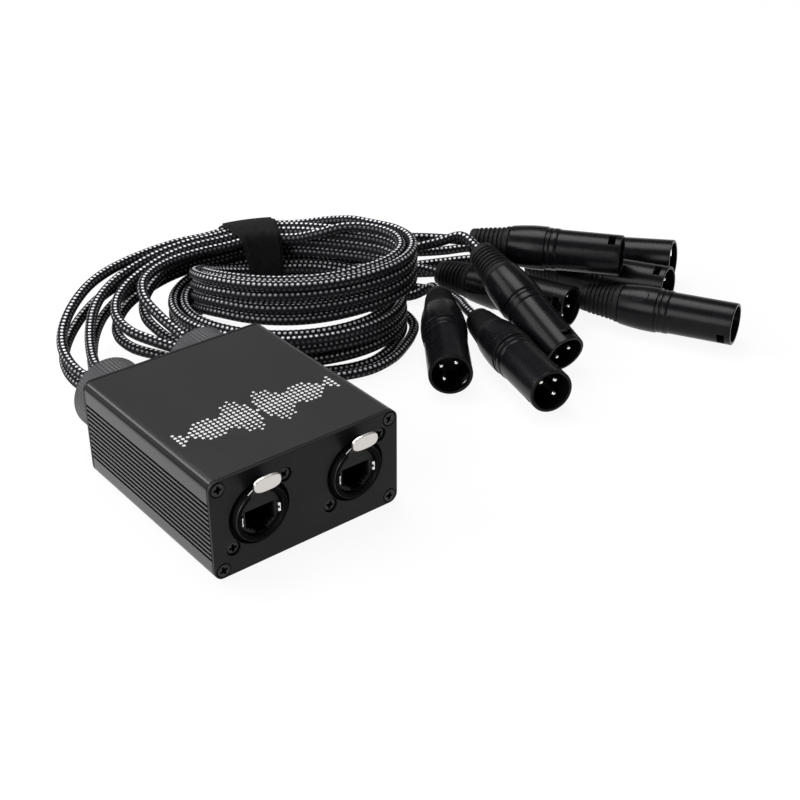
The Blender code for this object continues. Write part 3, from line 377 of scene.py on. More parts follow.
# %% A finish, which is a material and its nodes
class Finish:
    """A material. node() adds any node, and paint() gives the shader what varies."""

    SOCKETS = {"colour": "Base Color", "roughness": "Roughness", "normal": "Normal",
               "coat": "Coat Weight"}

    def __init__(self, name, colour, roughness, metallic=0.0, specular=0.5, **steady):
        self.material = bpy.data.materials.new(name)
        self.material.use_nodes = True
        self.tree = self.material.node_tree
        self.shader = self.tree.nodes["Principled BSDF"]
        steady.update({"Base Color": colour, "Roughness": roughness, "Metallic": metallic,
                       "Specular IOR Level": specular})
        for socket, value in steady.items():
            self.set_socket(self.shader.inputs[socket.replace("_", " ")], value)

    def set_socket(self, socket, value):
        if isinstance(value, Reading):
            self.tree.links.new(value.socket, socket)
        elif socket.type == "RGBA":
            socket.default_value = (*value, 1.0)
        else:
            socket.default_value = value

    def node(self, kind, settings=None, inputs=()):
        """Adds a node: its settings first, then its sockets, by name or in their order."""
        made = self.tree.nodes.new(kind)
        for name, value in (settings or {}).items():
            setattr(made, name, value)
        pairs = inputs.items() if isinstance(inputs, dict) else enumerate(inputs)
        for key, value in pairs:
            self.set_socket(made.inputs[key], value)
        return Reading(self, made.outputs[0])

    def axis(self, vector, name):
        return self.node("ShaderNodeSeparateXYZ", {}, [vector]).output(name)

    def place(self, stretch=(1.0, 1.0, 1.0)):
        """The point on the piece, in metres, stretched along its axes."""
        point = self.node("ShaderNodeTexCoord").output("Object")
        return self.node("ShaderNodeVectorMath", {"operation": "MULTIPLY"}, (point, stretch))

    def along(self, name):
        """One coordinate of the point on the piece, in millimetres."""
        return self.axis(self.place(), name) * 1000.0

    def facing(self, name):
        """How far the surface faces along an axis, from -1 to 1."""
        return self.axis(self.node("ShaderNodeNewGeometry").output("Normal"), name)

    def grain(self, scale, detail=2.0, stretch=(1.0, 1.0, 1.0), roughness=0.5):
        """Noise from 0 to 1. Scale is its count per metre."""
        return self.node("ShaderNodeTexNoise", {}, {"Vector": self.place(stretch), "Scale": scale,
                                                    "Detail": detail, "Roughness": roughness})

    def mix(self, share, first, second):
        """A colour between two others."""
        return self.node("ShaderNodeMix", {"data_type": "RGBA"},
                         {0: share, 6: first, 7: second}).output(2)

    def blend(self, share, first, second):
        """A shader between two others."""
        return self.node("ShaderNodeMixShader", {}, (share, first, second))

    def relief(self, height, distance, strength=1.0):
        """A Bump node, whose height of 1 stands for that distance in metres."""
        return self.node("ShaderNodeBump", {}, {"Strength": strength, "Distance": distance,
                                                "Height": height})

    def paint(self, **sockets):
        for name, value in sockets.items():
            self.set_socket(self.shader.inputs[self.SOCKETS[name]], value)

    def wear(self, noise, low, span, height=0.0, strength=0.5, **sockets):
        """Roughness that follows a noise, and where it has a height in metres, so does a
        relief. The other sockets are painted with them."""
        if height:
            sockets["normal"] = self.relief(noise, height, strength)
        self.paint(roughness=noise * span + low, **sockets)


def grey(level):
    return level, level, level


# %% [markdown]
# ## Building meshes
# Most pieces are one of two forms: a row of rings, such as a turned profile or a tube, or a
# slab with holes. Both are made in bmesh, point by point. A Boolean could cut the holes, but
# it leaves long thin faces along which shading breaks up. Here each hole gets its own rings of
# points, so that its edge can be rounded, and only the flat faces between the rings are
# filled in.


# %% A piece from a mesh
MERGE_DISTANCE = 1e-7


def finish_piece(name, shape, finish, node=None, body="case", matrix=None,
                 flat_angle=32.0):
    """Turns a bmesh into a piece with smooth faces and crisp edges, on one body. A matrix
    moves its points, so that every piece keeps its origin where the frame has it. With a
    node's name the piece takes over from that node, and without one it is trim."""
    bmesh.ops.remove_doubles(shape, verts=shape.verts, dist=MERGE_DISTANCE)
    bmesh.ops.recalc_face_normals(shape, faces=shape.faces)
    mesh = bpy.data.meshes.new(name)
    shape.to_mesh(mesh)
    shape.free()
    if matrix is not None:
        mesh.transform(matrix)
    mesh.shade_smooth()
    mesh.set_sharp_from_angle(angle=math.radians(flat_angle))
    piece = bpy.data.objects.new(name, mesh)
    bpy.context.scene.collection.objects.link(piece)
    mesh.materials.append(finish.material)
    piece.modifiers.new("even shading", "WEIGHTED_NORMAL").keep_sharp = True
    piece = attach(piece, body)
    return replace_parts(piece, node) if node else piece


# %% Rings and bands of faces
def add_ring(shape, points):
    return [shape.verts.new(point) for point in points]


def add_band(shape, first, second):
    """Faces between two closed rings with as many points."""
    count = len(first)
    for step in range(count):
        following = (step + 1) % count
        shape.faces.new((first[step], first[following], second[following], second[step]))


def loft(rows, closed=False, shape=None):
    """Bands between rings of points. The last ring meets the first one, or else both ends
    are filled in."""
    shape = bmesh.new() if shape is None else shape
    rings = [add_ring(shape, row) for row in rows]
    for first, second in zip(rings, rings[1:]):
        add_band(shape, first, second)
    if closed:
        add_band(shape, rings[-1], rings[0])
    else:
        shape.faces.new(rings[0])
        shape.faces.new(rings[-1])
    return shape


def fill_between(shape, rings):
    """One flat face inside the first ring, with the others as its holes."""
    edges = []
    for ring in rings:
        for first, second in zip(ring, ring[1:] + ring[:1]):
            edges.append(shape.edges.get((first, second)) or shape.edges.new((first, second)))
    bmesh.ops.triangle_fill(shape, use_beauty=True, use_dissolve=False, edges=edges)


# %% A turned profile
def turned_point(along, radius, angle):
    """A point of a form turned round the X axis, from millimetres."""
    return along * MM, radius * MM * math.cos(angle), radius * MM * math.sin(angle)


def turned(profile, segments, closed=False, ripple=None):
    """A profile of (along, radius) in millimetres, turned round the X axis. A ripple changes
    the radius by where a point is along the profile and round it."""
    return loft([[turned_point(along, radius + (ripple(number, step) if ripple else 0.0),
                               2 * math.pi * step / segments) for step in range(segments)]
                 for number, (along, radius) in enumerate(profile)], closed)


def frame_along(start, direction, roll=0.0):
    """A placing matrix whose X axis runs along direction, with Z as near to up as can be."""
    x = Vector(direction).normalized()
    y = UP.cross(x).normalized()
    turn = Matrix((x, y, x.cross(y))).transposed().to_4x4()
    return Matrix.Translation(start) @ turn @ Matrix.Rotation(roll, 4, "X")


def inwards(x, z, y):
    """The place of a piece turned round +Y."""
    return frame_along((x, y, z), (0.0, 1.0, 0.0))


# %% Outlines in the plane of the front
def arc(x, z, radius, angles):
    return [(x + radius * math.cos(angle), z + radius * math.sin(angle)) for angle in angles]


def circle(x, z, radius, count):
    return arc(x, z, radius, spread(0.0, 2 * math.pi, count)[:-1])


def oval(x, z, half_width, half_height, count, fullness):
    """An oval with straighter sides than an ellipse has, for a fullness below 1."""
    return [(x + half_width * math.copysign(abs(c) ** fullness, c),
             z + half_height * math.copysign(abs(s) ** fullness, s))
            for c, s in circle(0.0, 0.0, 1.0, count)]


def rectangle(x0, z0, x1, z1):
    return [(x0, z0), (x1, z0), (x1, z1), (x0, z1)]


def rounded(half_width, low, high, radius, steps=8):
    """A rectangle with round corners, counterclockwise from the lower right one."""
    right, top, bottom = half_width - radius, high - radius, low + radius
    points = []
    for quarter, (x, z) in enumerate([(right, bottom), (right, top), (-right, top),
                                      (-right, bottom)], -1):
        first = quarter * math.pi / 2
        points += arc(x, z, radius, spread(first, first + math.pi / 2, steps))
    return points


def grown(points, amount):
    """An outline moved outwards by an amount, along its own normals."""
    count = len(points)
    area = sum(a[0] * b[1] - b[0] * a[1] for a, b in zip(points, points[1:] + points[:1]))
    sense = 1.0 if area > 0 else -1.0
    result = []
    for number, (x, z) in enumerate(points):
        before = points[number - 1]
        after = points[(number + 1) % count]
        first = Vector((z - before[1], before[0] - x)).normalized() * sense
        second = Vector((after[1] - z, x - after[0])).normalized() * sense
        middle = (first + second).normalized()
        middle /= max(0.5, middle.dot(first))
        result.append((x + middle.x * amount, z + middle.y * amount))
    return result


# %% A slab with holes
def slab(outer, holes=(), blind=()):
    """Each edge is a list of (outline, y) rings from the front to the back. Holes go right
    through, and blind holes have a floor."""
    shape = bmesh.new()

    def rings_of(edge):
        rings = [add_ring(shape, [(x, y, z) for x, z in outline]) for outline, y in edge]
        for first, second in zip(rings, rings[1:]):
            add_band(shape, first, second)
        return rings

    outside = rings_of(outer)
    through = [rings_of(hole) for hole in holes]
    floored = [rings_of(hole) for hole in blind]
    fill_between(shape, [outside[0]] + [r[0] for r in through] + [r[0] for r in floored])
    fill_between(shape, [outside[-1]] + [r[-1] for r in through])
    for rings in floored:
        fill_between(shape, [rings[-1]])
    return shape


def lipped(outline, front, back, lip, inside=False):
    """The edge of a slab with rounded lips on both faces."""
    sign = 1.0 if inside else -1.0
    step = 1.0 if back > front else -1.0
    rings = []
    for share in (0.0, 0.3, 0.62, 1.0):
        angle = share * math.pi / 2
        rings.append((grown(outline, sign * lip * (1.0 - math.sin(angle))),
                      front + step * lip * (1.0 - math.cos(angle))))
    return rings + [(outline, back - step * lip), (grown(outline, sign * lip * 0.9), back)]


print("helpers ready")

# %% [markdown]
# ## The braided sleeve
# Each lead is covered with a braid of black threads, with light tracer threads that surface
# as small pale flecks in staggered rows. Modelled threads would take millions of faces. The
# tube stores, at each point, its place round the lead and the length so far, and the finish
# draws the flecks and the crossing threads from those two readings. Tracer threads are slick,
# and the light from above is also painted onto the flecks: those that face upwards are painted
# nearly white, a painted highlight, and those that face sideways or down nearly black, painted
# shade. The low gaps between the crossing threads are painted darker too, as painted shade.

# %% The braid's finish
FLECK_PITCH = 2.35 * MM
FLECK_COLUMNS = 6
FLECK_WIDTH = 0.29
FLECK_LENGTH = 0.28
THREADS = 3

braid = Finish("braided_sleeve", (0.008, 0.008, 0.009), 0.72, specular=0.1,
               Coat_Roughness=0.36, Coat_IOR=1.6)
weave = braid.node("ShaderNodeAttribute", {"attribute_name": "weave"}).output("Vector")
angle = weave.sum("ARCTAN2", braid.axis(weave, "Y"), braid.axis(weave, "X"))
column = angle / (2 * math.pi) * FLECK_COLUMNS
row = braid.axis(weave, "Z") / FLECK_PITCH
across = (column.rest() - 0.5) / FLECK_WIDTH
onward = ((row + (column.whole() * 0.5).rest()).rest() - 0.5) / FLECK_LENGTH
fleck = 1 - (across * across + onward * onward).above(0.7, 1.25)
warp = (column * THREADS + row * THREADS).rest() - 0.5
weft = (column * THREADS - row * THREADS).rest() - 0.5
pillow = 1 - (warp * warp + weft * weft) * 2.0
uneven = braid.grain(700.0).above(0.25, 0.75) * 0.4 + 0.6
# Painted shade: the low gaps between the crossing threads are painted darker than the thread tops.
threads_painted_gap_shade = braid.mix(pillow, (0.002, 0.002, 0.0025), (0.012, 0.012, 0.015))
# Painted highlight and shade: flecks that face upwards are painted nearly white, and those that
# face sideways or down nearly black.
tracer_painted_top_light = braid.mix(braid.facing("Z").above(0.4, 0.98), (0.02, 0.02, 0.023), (0.90, 0.90, 0.93))
braid.paint(colour=braid.mix(fleck * uneven, threads_painted_gap_shade, tracer_painted_top_light), roughness=0.8 - fleck * 0.3,
            coat=fleck * 0.7, normal=braid.relief(pillow * 0.5 + fleck, 0.00016, 0.9))
print("braid nodes:", len(braid.tree.nodes))


# %% A tube with a weave
def tube(line, radius, sides):
    """A tube along a line. Each point keeps its place round the tube and along it."""
    side = (line[1] - line[0]).normalized().cross(UP).normalized()
    turns = circle(0.0, 0.0, 1.0, sides)
    travelled, before = 0.0, line[0]
    rows, places = [], []
    for point, heading in with_headings(line):
        travelled += (point - before).length
        before = point
        side = (side - heading * side.dot(heading)).normalized()
        above = side.cross(heading)
        rows.append([point + side * (radius * c) + above * (radius * s) for c, s in turns])
        places += [(c, s, travelled) for c, s in turns]
    shape = loft(rows)
    layer = shape.verts.layers.float_vector.new("weave")
    for vertex, place in zip(shape.verts, places):
        vertex[layer] = place
    return shape


# %% The eight leads
leads = {number: finish_piece(f"lead_{number}_braid", tube(line, LEAD_DIAMETER / 2, 14), braid,
                              f"lead_{number}", flat_angle=50.0)
         for number, line in lead_lines.items()}
print("lead faces:", sum(len(lead.data.polygons) for lead in leads.values()))

# %% [markdown]
# ## The case
# The case is a length of extruded aluminium tube, black anodised, with grooved sides, and a
# flat panel at each end. Extruding leaves faint lines along the tube, and anodising a clear
# satin skin, for which the shader's coat stands. The grooves are painted near black and lose
# the coat, as painted shade. The tube is one slab with holes: its section is the outline, and
# its length the thickness. The groove edges get small chamfers, because real edges catch light.

# %% Planes and sizes of the case
FRONT = -51.2 * MM
REAR = 36.8 * MM
PANEL_THICKNESS = 1.5 * MM
SEAM = 0.06 * MM
TUBE_ENDS = (FRONT + PANEL_THICKNESS + SEAM, REAR - PANEL_THICKNESS - SEAM)
TUBE_LIP = 0.07 * MM
CASE_HALF = 40.0 * MM
CASE_HEIGHT = 40.0 * MM
CORNER_RADIUS = 3.5 * MM
SCREW_PLACES = [(x * MM, z * MM) for z in (3.3, 36.7) for x in (-36.4, 36.4)]
SCREW_BORE = 1.6 * MM
GROOVES = 12
GROOVE_PITCH = 2.05 * MM
GROOVE_DEPTH = 0.9 * MM
LOWEST_GROOVE = 7.6 * MM

# %% Anodised aluminium
anodised = Finish("black_anodised_tube", (0.010, 0.010, 0.011), 0.5, specular=0.1,
                  Coat_Roughness=0.3, Coat_IOR=1.45)
aside = anodised.along("X").size()
# Painted shade: from 38.6 to 39.75 mm out, in the grooves, the colour is near black and the coat
# is off.
lands_outside_painted_groove_shade = 1 - aside.above(38.6, 38.7) * (1 - aside.above(39.75, 39.9))
dyed = anodised.mix(anodised.grain(45.0).above(0.3, 0.7), (0.004, 0.004, 0.005),
                    (0.006, 0.006, 0.007))
anodised.wear(anodised.grain(1.0, 3.0, (2600.0, 40.0, 2600.0)), 0.43, 0.14, 0.00001, 0.6,
              colour=anodised.mix(lands_outside_painted_groove_shade, grey(0.003), dyed), coat=lands_outside_painted_groove_shade)

panel_skin = Finish("black_panel_skin", (0.007, 0.007, 0.008), 0.42, specular=0.15)
panel_skin.wear(panel_skin.grain(5200.0), 0.34, 0.16, 0.000012,
                colour=panel_skin.mix(panel_skin.grain(60.0).above(0.3, 0.7),
                                      (0.006, 0.006, 0.007), (0.009, 0.009, 0.010)))
print("case finishes ready")


# %% The tube
def tube_outline():
    corners = rounded(CASE_HALF, 0.0, CASE_HEIGHT, CORNER_RADIUS)
    quarter = len(corners) // 4
    groove = [(0.0, -TUBE_LIP), (TUBE_LIP, 0.0), (GROOVE_DEPTH, 0.03 * GROOVE_PITCH),
              (GROOVE_DEPTH, 0.57 * GROOVE_PITCH), (TUBE_LIP, 0.6 * GROOVE_PITCH),
              (0.0, 0.6 * GROOVE_PITCH + TUBE_LIP)]
    side = [(CASE_HALF - deep, LOWEST_GROOVE + number * GROOVE_PITCH + up)
            for number in range(GROOVES) for deep, up in groove]
    other = [(-x, z) for x, z in reversed(side)]
    return corners[:quarter] + side + corners[quarter:3 * quarter] + other + corners[3 * quarter:]


def hollow_outline():
    """The hollow, with a post in each corner and a slot for the board on both sides."""
    side = [(33.8, 2.0), (33.8, 6.2), (37.2, 6.2), (37.2, 10.1), (38.3, 10.1), (38.3, 12.3),
            (37.2, 12.3), (37.2, 33.8), (33.8, 33.8), (33.8, 38.0)]
    return [(x * MM, z * MM) for x, z in side + [(-x, z) for x, z in reversed(side)]]


tunnels = [hollow_outline()] + [circle(x, z, SCREW_BORE, 16) for x, z in SCREW_PLACES]
case_tube = finish_piece("case_tube", slab(lipped(tube_outline(), *TUBE_ENDS, TUBE_LIP),
                                           [[(outline, y) for y in TUBE_ENDS]
                                            for outline in tunnels]),
                         anodised, "enclosure_shell")
print("tube faces:", len(case_tube.data.polygons))

# %% [markdown]
# The front panel is a flat plate with holes: two for the sockets, four countersunk ones for
# the corner screws, and four deep round ones for the screws of the sockets. Each edge has a
# fine rounded lip, which draws the thin lines of light seen along a real panel.

# %% The two panels
SOCKET_HEIGHT = 21.2 * MM
SOCKET_X = {"left": -20.65 * MM, "right": 20.65 * MM}
GLAND_HEIGHT = 20.0 * MM
SOCKET_OPENING, BOLT_OPENING, GLAND_OPENING = 12.4 * MM, 2.8 * MM, 10.0 * MM
SINK_WIDTH, SINK_EDGE = 2.95 * MM, 0.12 * MM


def bolt_places(x):
    """Where a socket has its two screws, on a line through its middle."""
    return [(x + sign * 11.2 * MM, SOCKET_HEIGHT + sign * 10.6 * MM) for sign in (-1, 1)]


def panel(name, face, inward, openings, node):
    far = face + inward * PANEL_THICKNESS
    holes = [[(circle(x, z, SINK_WIDTH + SINK_EDGE, 32), face),
              (circle(x, z, SINK_WIDTH, 32), face + inward * SINK_EDGE),
              (circle(x, z, SCREW_BORE, 32), far)] for x, z in SCREW_PLACES]
    holes += [lipped(circle(x, z, radius, count), face, far, 0.15 * MM, inside=True)
              for x, z, radius, count in openings]
    outline = rounded(CASE_HALF, 0.0, CASE_HEIGHT, CORNER_RADIUS)
    return finish_piece(name, slab(lipped(outline, face, far, 0.22 * MM), holes), panel_skin,
                        node)


front_openings = []
for x in SOCKET_X.values():
    front_openings.append((x, SOCKET_HEIGHT, SOCKET_OPENING, 72))
    front_openings += [(*place, BOLT_OPENING, 32) for place in bolt_places(x)]
front_plate = panel("front_plate", FRONT, 1.0, front_openings, "front_panel")
rear_plate = panel("rear_plate", REAR, -1.0, [(x, GLAND_HEIGHT, GLAND_OPENING, 64)
                                              for x in SOCKET_X.values()], "rear_panel")
print("panel faces:", len(front_plate.data.polygons), len(rear_plate.data.polygons))

# %% [markdown]
# ## Screws
# The corner screws are countersunk and the socket screws have low round heads. All have a
# cross recess, whose walls lean in to its floor. The recess is a blind hole of the slab. All
# that lies more than about 0.8 mm behind the panel's face, the recess and the rim of each
# sunken socket screw head, is painted near black as painted shade, since no light gets down
# there. Both panels lie equally far from one middle plane, so the depth is the same sum for the
# front and the rear.

# %% Screws with a cross recess
UNLIT = grey(0.004)
MIDDLE_PLANE = -7.2
HEAD_PLANE = 44.0
RECESS = [(0.0, 1.62, 0.95), (0.2, 1.48, 0.78), (1.2, 1.0, 0.50)]

screw_skin = Finish("black_plated_steel", (0.04, 0.04, 0.041), 0.3, 1.0)
scratches = screw_skin.grain(2400.0, 3.0)
# Painted shade: deeper than about 0.8 mm the plating is painted near black.
depth = HEAD_PLANE - (screw_skin.along("Y") - MIDDLE_PLANE).size()
plated = screw_skin.mix(scratches.above(0.6, 0.75), (0.035, 0.035, 0.036), (0.10, 0.10, 0.102))
screw_skin.wear(scratches, 0.22, 0.2, 0.00001,
                colour=screw_skin.mix(depth.above(0.75, 1.05), plated, UNLIT))


def cross(x, z, arm, width, angle):
    """A cross with slightly hollow inner corners."""
    points = []
    for quarter in range(4):
        for along, aside in ((arm, -width * 0.45), (arm * 1.04, 0.0), (arm, width * 0.45),
                             (width * 0.62, width * 0.62)):
            turned_by = angle + quarter * math.pi / 2
            points.append((x + along * math.cos(turned_by) - aside * math.sin(turned_by),
                           z + along * math.sin(turned_by) + aside * math.cos(turned_by)))
    return points[::-1]


def screw(name, x, z, face, inward, profile, angle, node=None):
    rings = [(circle(x, z, radius * MM, 32), face + inward * deep * MM)
             for deep, radius in profile]
    top = face + inward * profile[0][0] * MM
    recess = [(cross(x, z, arm * MM, width * MM, angle), top + inward * deep * MM)
              for deep, arm, width in RECESS]
    finish_piece(name, slab(rings, blind=[recess]), screw_skin, node)


sunk = [(0.0, 2.4), (0.1, 2.5), (1.5, 1.15), (9.0, 1.15)]
low_head = [(0.6, 1.9), (0.66, 2.2), (0.85, 2.4), (1.7, 2.4), (1.7, 1.15), (6.3, 1.15)]
for number, (x, z) in enumerate(SCREW_PLACES, 1):
    screw(f"corner_screw_{number}", x, z, FRONT, 1.0, sunk, 0.35 * number * number,
          f"front_panel_screw_{number}")
    screw(f"rear_screw_{number}", x, z, REAR, -1.0, sunk, 0.5 + 0.8 * number)
for side, x in SOCKET_X.items():
    for number, place in enumerate(bolt_places(x), 1):
        screw(f"{side}_socket_bolt_{number}", *place, FRONT, 1.0, low_head,
              0.7 * number + x * 30, f"socket_{side}_screw_{number}")
print("screws: 12")

# %% [markdown]
# ## The network sockets
# Behind the panel sits a moulded flange with a ring that fills the round hole. The ring
# surrounds the jack, whose mouth has stepped corners. A metal shield inside ends in small
# bright springs on both sides of the mouth. The ring is open at the top for the arm of the
# release tab, so it is turned through part of a circle and closed at its two ends. Faces that
# look to the front, into the dark room before the box, are painted near black without gloss,
# as painted shade; the walls are painted lighter and have a gloss, as painted light.

# %% Moulded plastics and metals of the sockets
ring_plastic = Finish("black_socket_plastic", (0.004, 0.004, 0.005), 0.5, specular=0.03,
                      Coat_Roughness=0.35)
# Painted light and shade: faces that look to the front are painted near black, and the walls
# lighter.
walls_painted_lighter = ring_plastic.facing("Y").above(-0.9, -0.6)
ring_plastic.wear(ring_plastic.grain(3500.0), 0.43, 0.15, 0.00001, 0.4, coat=walls_painted_lighter,
                  colour=ring_plastic.mix(walls_painted_lighter, grey(0.001), (0.009, 0.009, 0.010)))

jack_plastic = Finish("grey_black_jack_plastic", (0.012, 0.012, 0.013), 0.5, specular=0.15)
pores = jack_plastic.grain(4500.0)
pale = jack_plastic.mix(pores.above(0.2, 0.8), (0.010, 0.010, 0.011), (0.014, 0.014, 0.015))
# Painted shade: from half a millimetre behind the jack's face, and fully beyond about 2.4 mm,
# inside the mouth and on the foot, the plastic is painted near black.
inside = jack_plastic.along("Y").above(-51.0, -49.0)
jack_plastic.wear(pores, 0.42, 0.15, 0.00001,
                  colour=jack_plastic.mix(inside, pale, grey(0.0015)))

nickel = Finish("satin_nickel", (0.66, 0.63, 0.60), 0.34, 1.0)
brushed = nickel.grain(1.0, 3.0, (900.0, 900.0, 5000.0))
nickel.wear(brushed, 0.28, 0.16, 0.000008,
            colour=nickel.mix(brushed, (0.62, 0.595, 0.565), (0.70, 0.67, 0.635)))

spring_metal = Finish("bright_spring_metal", (0.80, 0.79, 0.77), 0.22, 1.0)
spring_metal.wear(spring_metal.grain(1800.0), 0.16, 0.15, 0.00001, 0.4)

# Painted shade: a near black metal for the tab's arm, which is nickel like the plate.
painted_shade_arm_metal = Finish("painted_shade_arm_metal", (0.06, 0.058, 0.056), 0.5, 1.0)
painted_shade_arm_metal.wear(painted_shade_arm_metal.grain(1800.0, 3.0), 0.4, 0.2)

gilt = Finish("gilt_contact", (0.72, 0.52, 0.22), 0.28, 1.0)
gilt.wear(gilt.grain(2500.0), 0.2, 0.2)
print("socket finishes ready")

# %% Ring and flange of each socket
RING_PROFILE = [(-2.0, 10.2), (-1.93, 10.4), (-1.75, 10.55), (-1.5, 10.6), (19.8, 10.6),
                (19.8, 8.8), (7.0, 8.8), (7.0, 8.9), (-1.7, 8.9), (-1.92, 8.98), (-2.0, 9.15)]
RING_STEPS = 84
RING_GAP = math.radians(27.5)
FLANGE_HOLE, NOTCH_HALF, NOTCH_TOP = 10.65, 4.85, 11.0
FLANGE_FRONT = FRONT + PANEL_THICKNESS + GAP
FLANGE_BACK = FLANGE_FRONT + 2.0 * MM
FLANGE_HALF_WIDTH, FLANGE_HALF_HEIGHT = 12.7 * MM, 13.6 * MM
FLANGE_BORE = 1.3 * MM


def open_ring():
    """The ring's profile, turned round X from one side of the gap at the top to the other."""
    first, span = math.pi / 2 + RING_GAP, 2 * math.pi - 2 * RING_GAP
    return loft([[turned_point(*point, angle) for point in RING_PROFILE]
                 for angle in spread(first, first + span, RING_STEPS)])


def flange_opening(x, z):
    """Round, with a notch at the top for the arm of the tab."""
    first = math.pi / 2 + math.asin(NOTCH_HALF / FLANGE_HOLE)
    points = arc(0.0, 0.0, FLANGE_HOLE, spread(first, 3 * math.pi - first, 56))
    points += [(NOTCH_HALF, NOTCH_TOP), (-NOTCH_HALF, NOTCH_TOP)]
    return [(x + px * MM, z + pz * MM) for px, pz in points]


for side, x in SOCKET_X.items():
    finish_piece(f"{side}_socket_ring", open_ring(), ring_plastic,
                 f"socket_{side}_shell", matrix=inwards(x, SOCKET_HEIGHT, FRONT))
    outline = rectangle(x - FLANGE_HALF_WIDTH, SOCKET_HEIGHT - FLANGE_HALF_HEIGHT,
                        x + FLANGE_HALF_WIDTH, SOCKET_HEIGHT + FLANGE_HALF_HEIGHT)
    openings = [(flange_opening(x, SOCKET_HEIGHT), 0.1 * MM)]
    openings += [(circle(*place, FLANGE_BORE, 16), 0.05 * MM) for place in bolt_places(x)]
    holes = [lipped(hole, FLANGE_FRONT, FLANGE_BACK, lip, inside=True) for hole, lip in openings]
    finish_piece(f"{side}_socket_flange",
                 slab(lipped(outline, FLANGE_FRONT, FLANGE_BACK, 0.2 * MM), holes),
                 ring_plastic)
print("socket rings: 2")

# %% The jack with its mouth
JACK_FACE = FRONT - 0.2 * MM
JACK_EDGE = [(8.15, 0.0), (8.38, 0.1), (8.5, 0.35), (8.5, 22.0)]
MOUTH_SIDE = [(2.1, -7.6), (2.1, -6.6), (3.2, -6.6), (3.2, -5.6), (4.6, -5.6), (4.6, -4.6),
              (5.95, -4.6), (5.95, 2.2)]
MOUTH_EDGE = [(0.22, 0.0), (0.06, 0.08), (0.0, 0.26), (0.0, 12.0)]
JACK_FOOT = ((-8.5, 21.0, -8.9), (8.5, 35.0, 6.8))


def from_socket(x, points):
    """Points in metres, given by how many millimetres they lie to the right of the socket's
    middle, behind the jack's face, and above the middle."""
    return [Vector((x + px * MM, JACK_FACE + py * MM, SOCKET_HEIGHT + pz * MM))
            for px, py, pz in points]


for side, x in SOCKET_X.items():
    body = [(circle(x, SOCKET_HEIGHT, radius * MM, 72), JACK_FACE + back * MM)
            for radius, back in JACK_EDGE]
    mouth = [(x + px * MM, SOCKET_HEIGHT + pz * MM)
             for px, pz in MOUTH_SIDE + [(-px, pz) for px, pz in reversed(MOUTH_SIDE)]]
    opening = [(grown(mouth, wider * MM), JACK_FACE + back * MM) for wider, back in MOUTH_EDGE]
    finish_piece(f"{side}_jack", slab(body, blind=[opening]), jack_plastic,
                 f"socket_{side}_jack")
    low, high = from_socket(x, JACK_FOOT)
    foot = lipped(rectangle(low.x, low.z, high.x, high.z), low.y, high.y, 0.3 * MM)
    finish_piece(f"{side}_jack_foot", slab(foot), jack_plastic)
print("jacks: 2")

# %% [markdown]
# The springs are short strips of bright sheet metal that stand out a little from the jack's
# face, two on each side of the mouth, with a narrow bridge between their ends. Eight gilt
# contact wires slope down inside the mouth. They are nearly hidden in the photograph, but
# anyone who looks straight in would miss them.

# %% Springs and contact wires
SPRING = [(7.0, 0.5), (7.05, -0.25), (7.2, -0.65), (7.5, -0.9), (7.9, -1.0)]
BRIDGE = [(7.65, -0.94), (7.8, -0.97), (7.93, -0.99)]
STRIPS = [("1", SPRING, -0.05, 1.15, 0.22), ("2", SPRING, -2.3, -1.1, 0.22),
          ("_bridge", BRIDGE, -1.0, -0.1, 0.16)]
WIRES = 8
WIRE_PITCH = 1.02
WIRE_RADIUS = 0.16 * MM
WIRE_ROUTE = [(3.4, 1.9), (4.0, 0.8), (8.5, -0.8), (11.9, -0.5)]


def strip(line, low, high, thickness):
    """Sheet metal that follows a line in the XY plane, from a low to a high Z."""
    rows = []
    for (x, y, z), heading in with_headings(line):
        run = heading * thickness / 2
        rows.append([(x - run.y, y + run.x, z + low), (x - run.y, y + run.x, z + high),
                     (x + run.y, y - run.x, z + high), (x + run.y, y - run.x, z + low)])
    return loft(rows)


for side, x in SOCKET_X.items():
    for sign, hand in ((-1, "a"), (1, "b")):
        for name, path, low, high, thickness in STRIPS:
            line = from_socket(x, [(sign * px, py, 0.0) for px, py in path])
            finish_piece(f"{side}_spring_{hand}{name}",
                         strip(line, low * MM, high * MM, thickness * MM), spring_metal,
                         flat_angle=20.0)
    for wire in range(WIRES):
        aside = (wire - (WIRES - 1) / 2) * WIRE_PITCH
        route = from_socket(x, [(aside, py, pz) for py, pz in WIRE_ROUTE])
        finish_piece(f"{side}_contact_{wire + 1}", tube(route, WIRE_RADIUS, 6), gilt)
print("springs and contacts ready")

# %% [markdown]
# ## The release tabs
# A tab is pressed to let the plug go. It is bent from one strip of nickel-plated sheet: an
# oval plate in front of the panel, and an arm that runs back inside the ring. The arm lies in
# the plate's shadow, so it is given a near black metal instead of nickel, as painted shade.
# A thin bright rod along the sheet's cut edge on the left is a painted highlight: it stands
# for a line of light there. All three ride on the latch's own body, so they slide in with its
# joint.

# %% The tab's plate, arm and edge
TAB_FACE = FRONT - 6.6 * MM
TAB_THICKNESS = 1.3 * MM
TAB_MIDDLE = SOCKET_HEIGHT + 15.1 * MM
ARM_HALF_WIDTH = 4.4 * MM
ARM_VIEW = [(9.0, 9.3), (9.0, 10.3), (-1.0, 10.3), (-1.7, 10.5), (-5.4, 15.1), (-5.6, 13.8),
            (-2.1, 9.5), (-1.2, 9.3)]
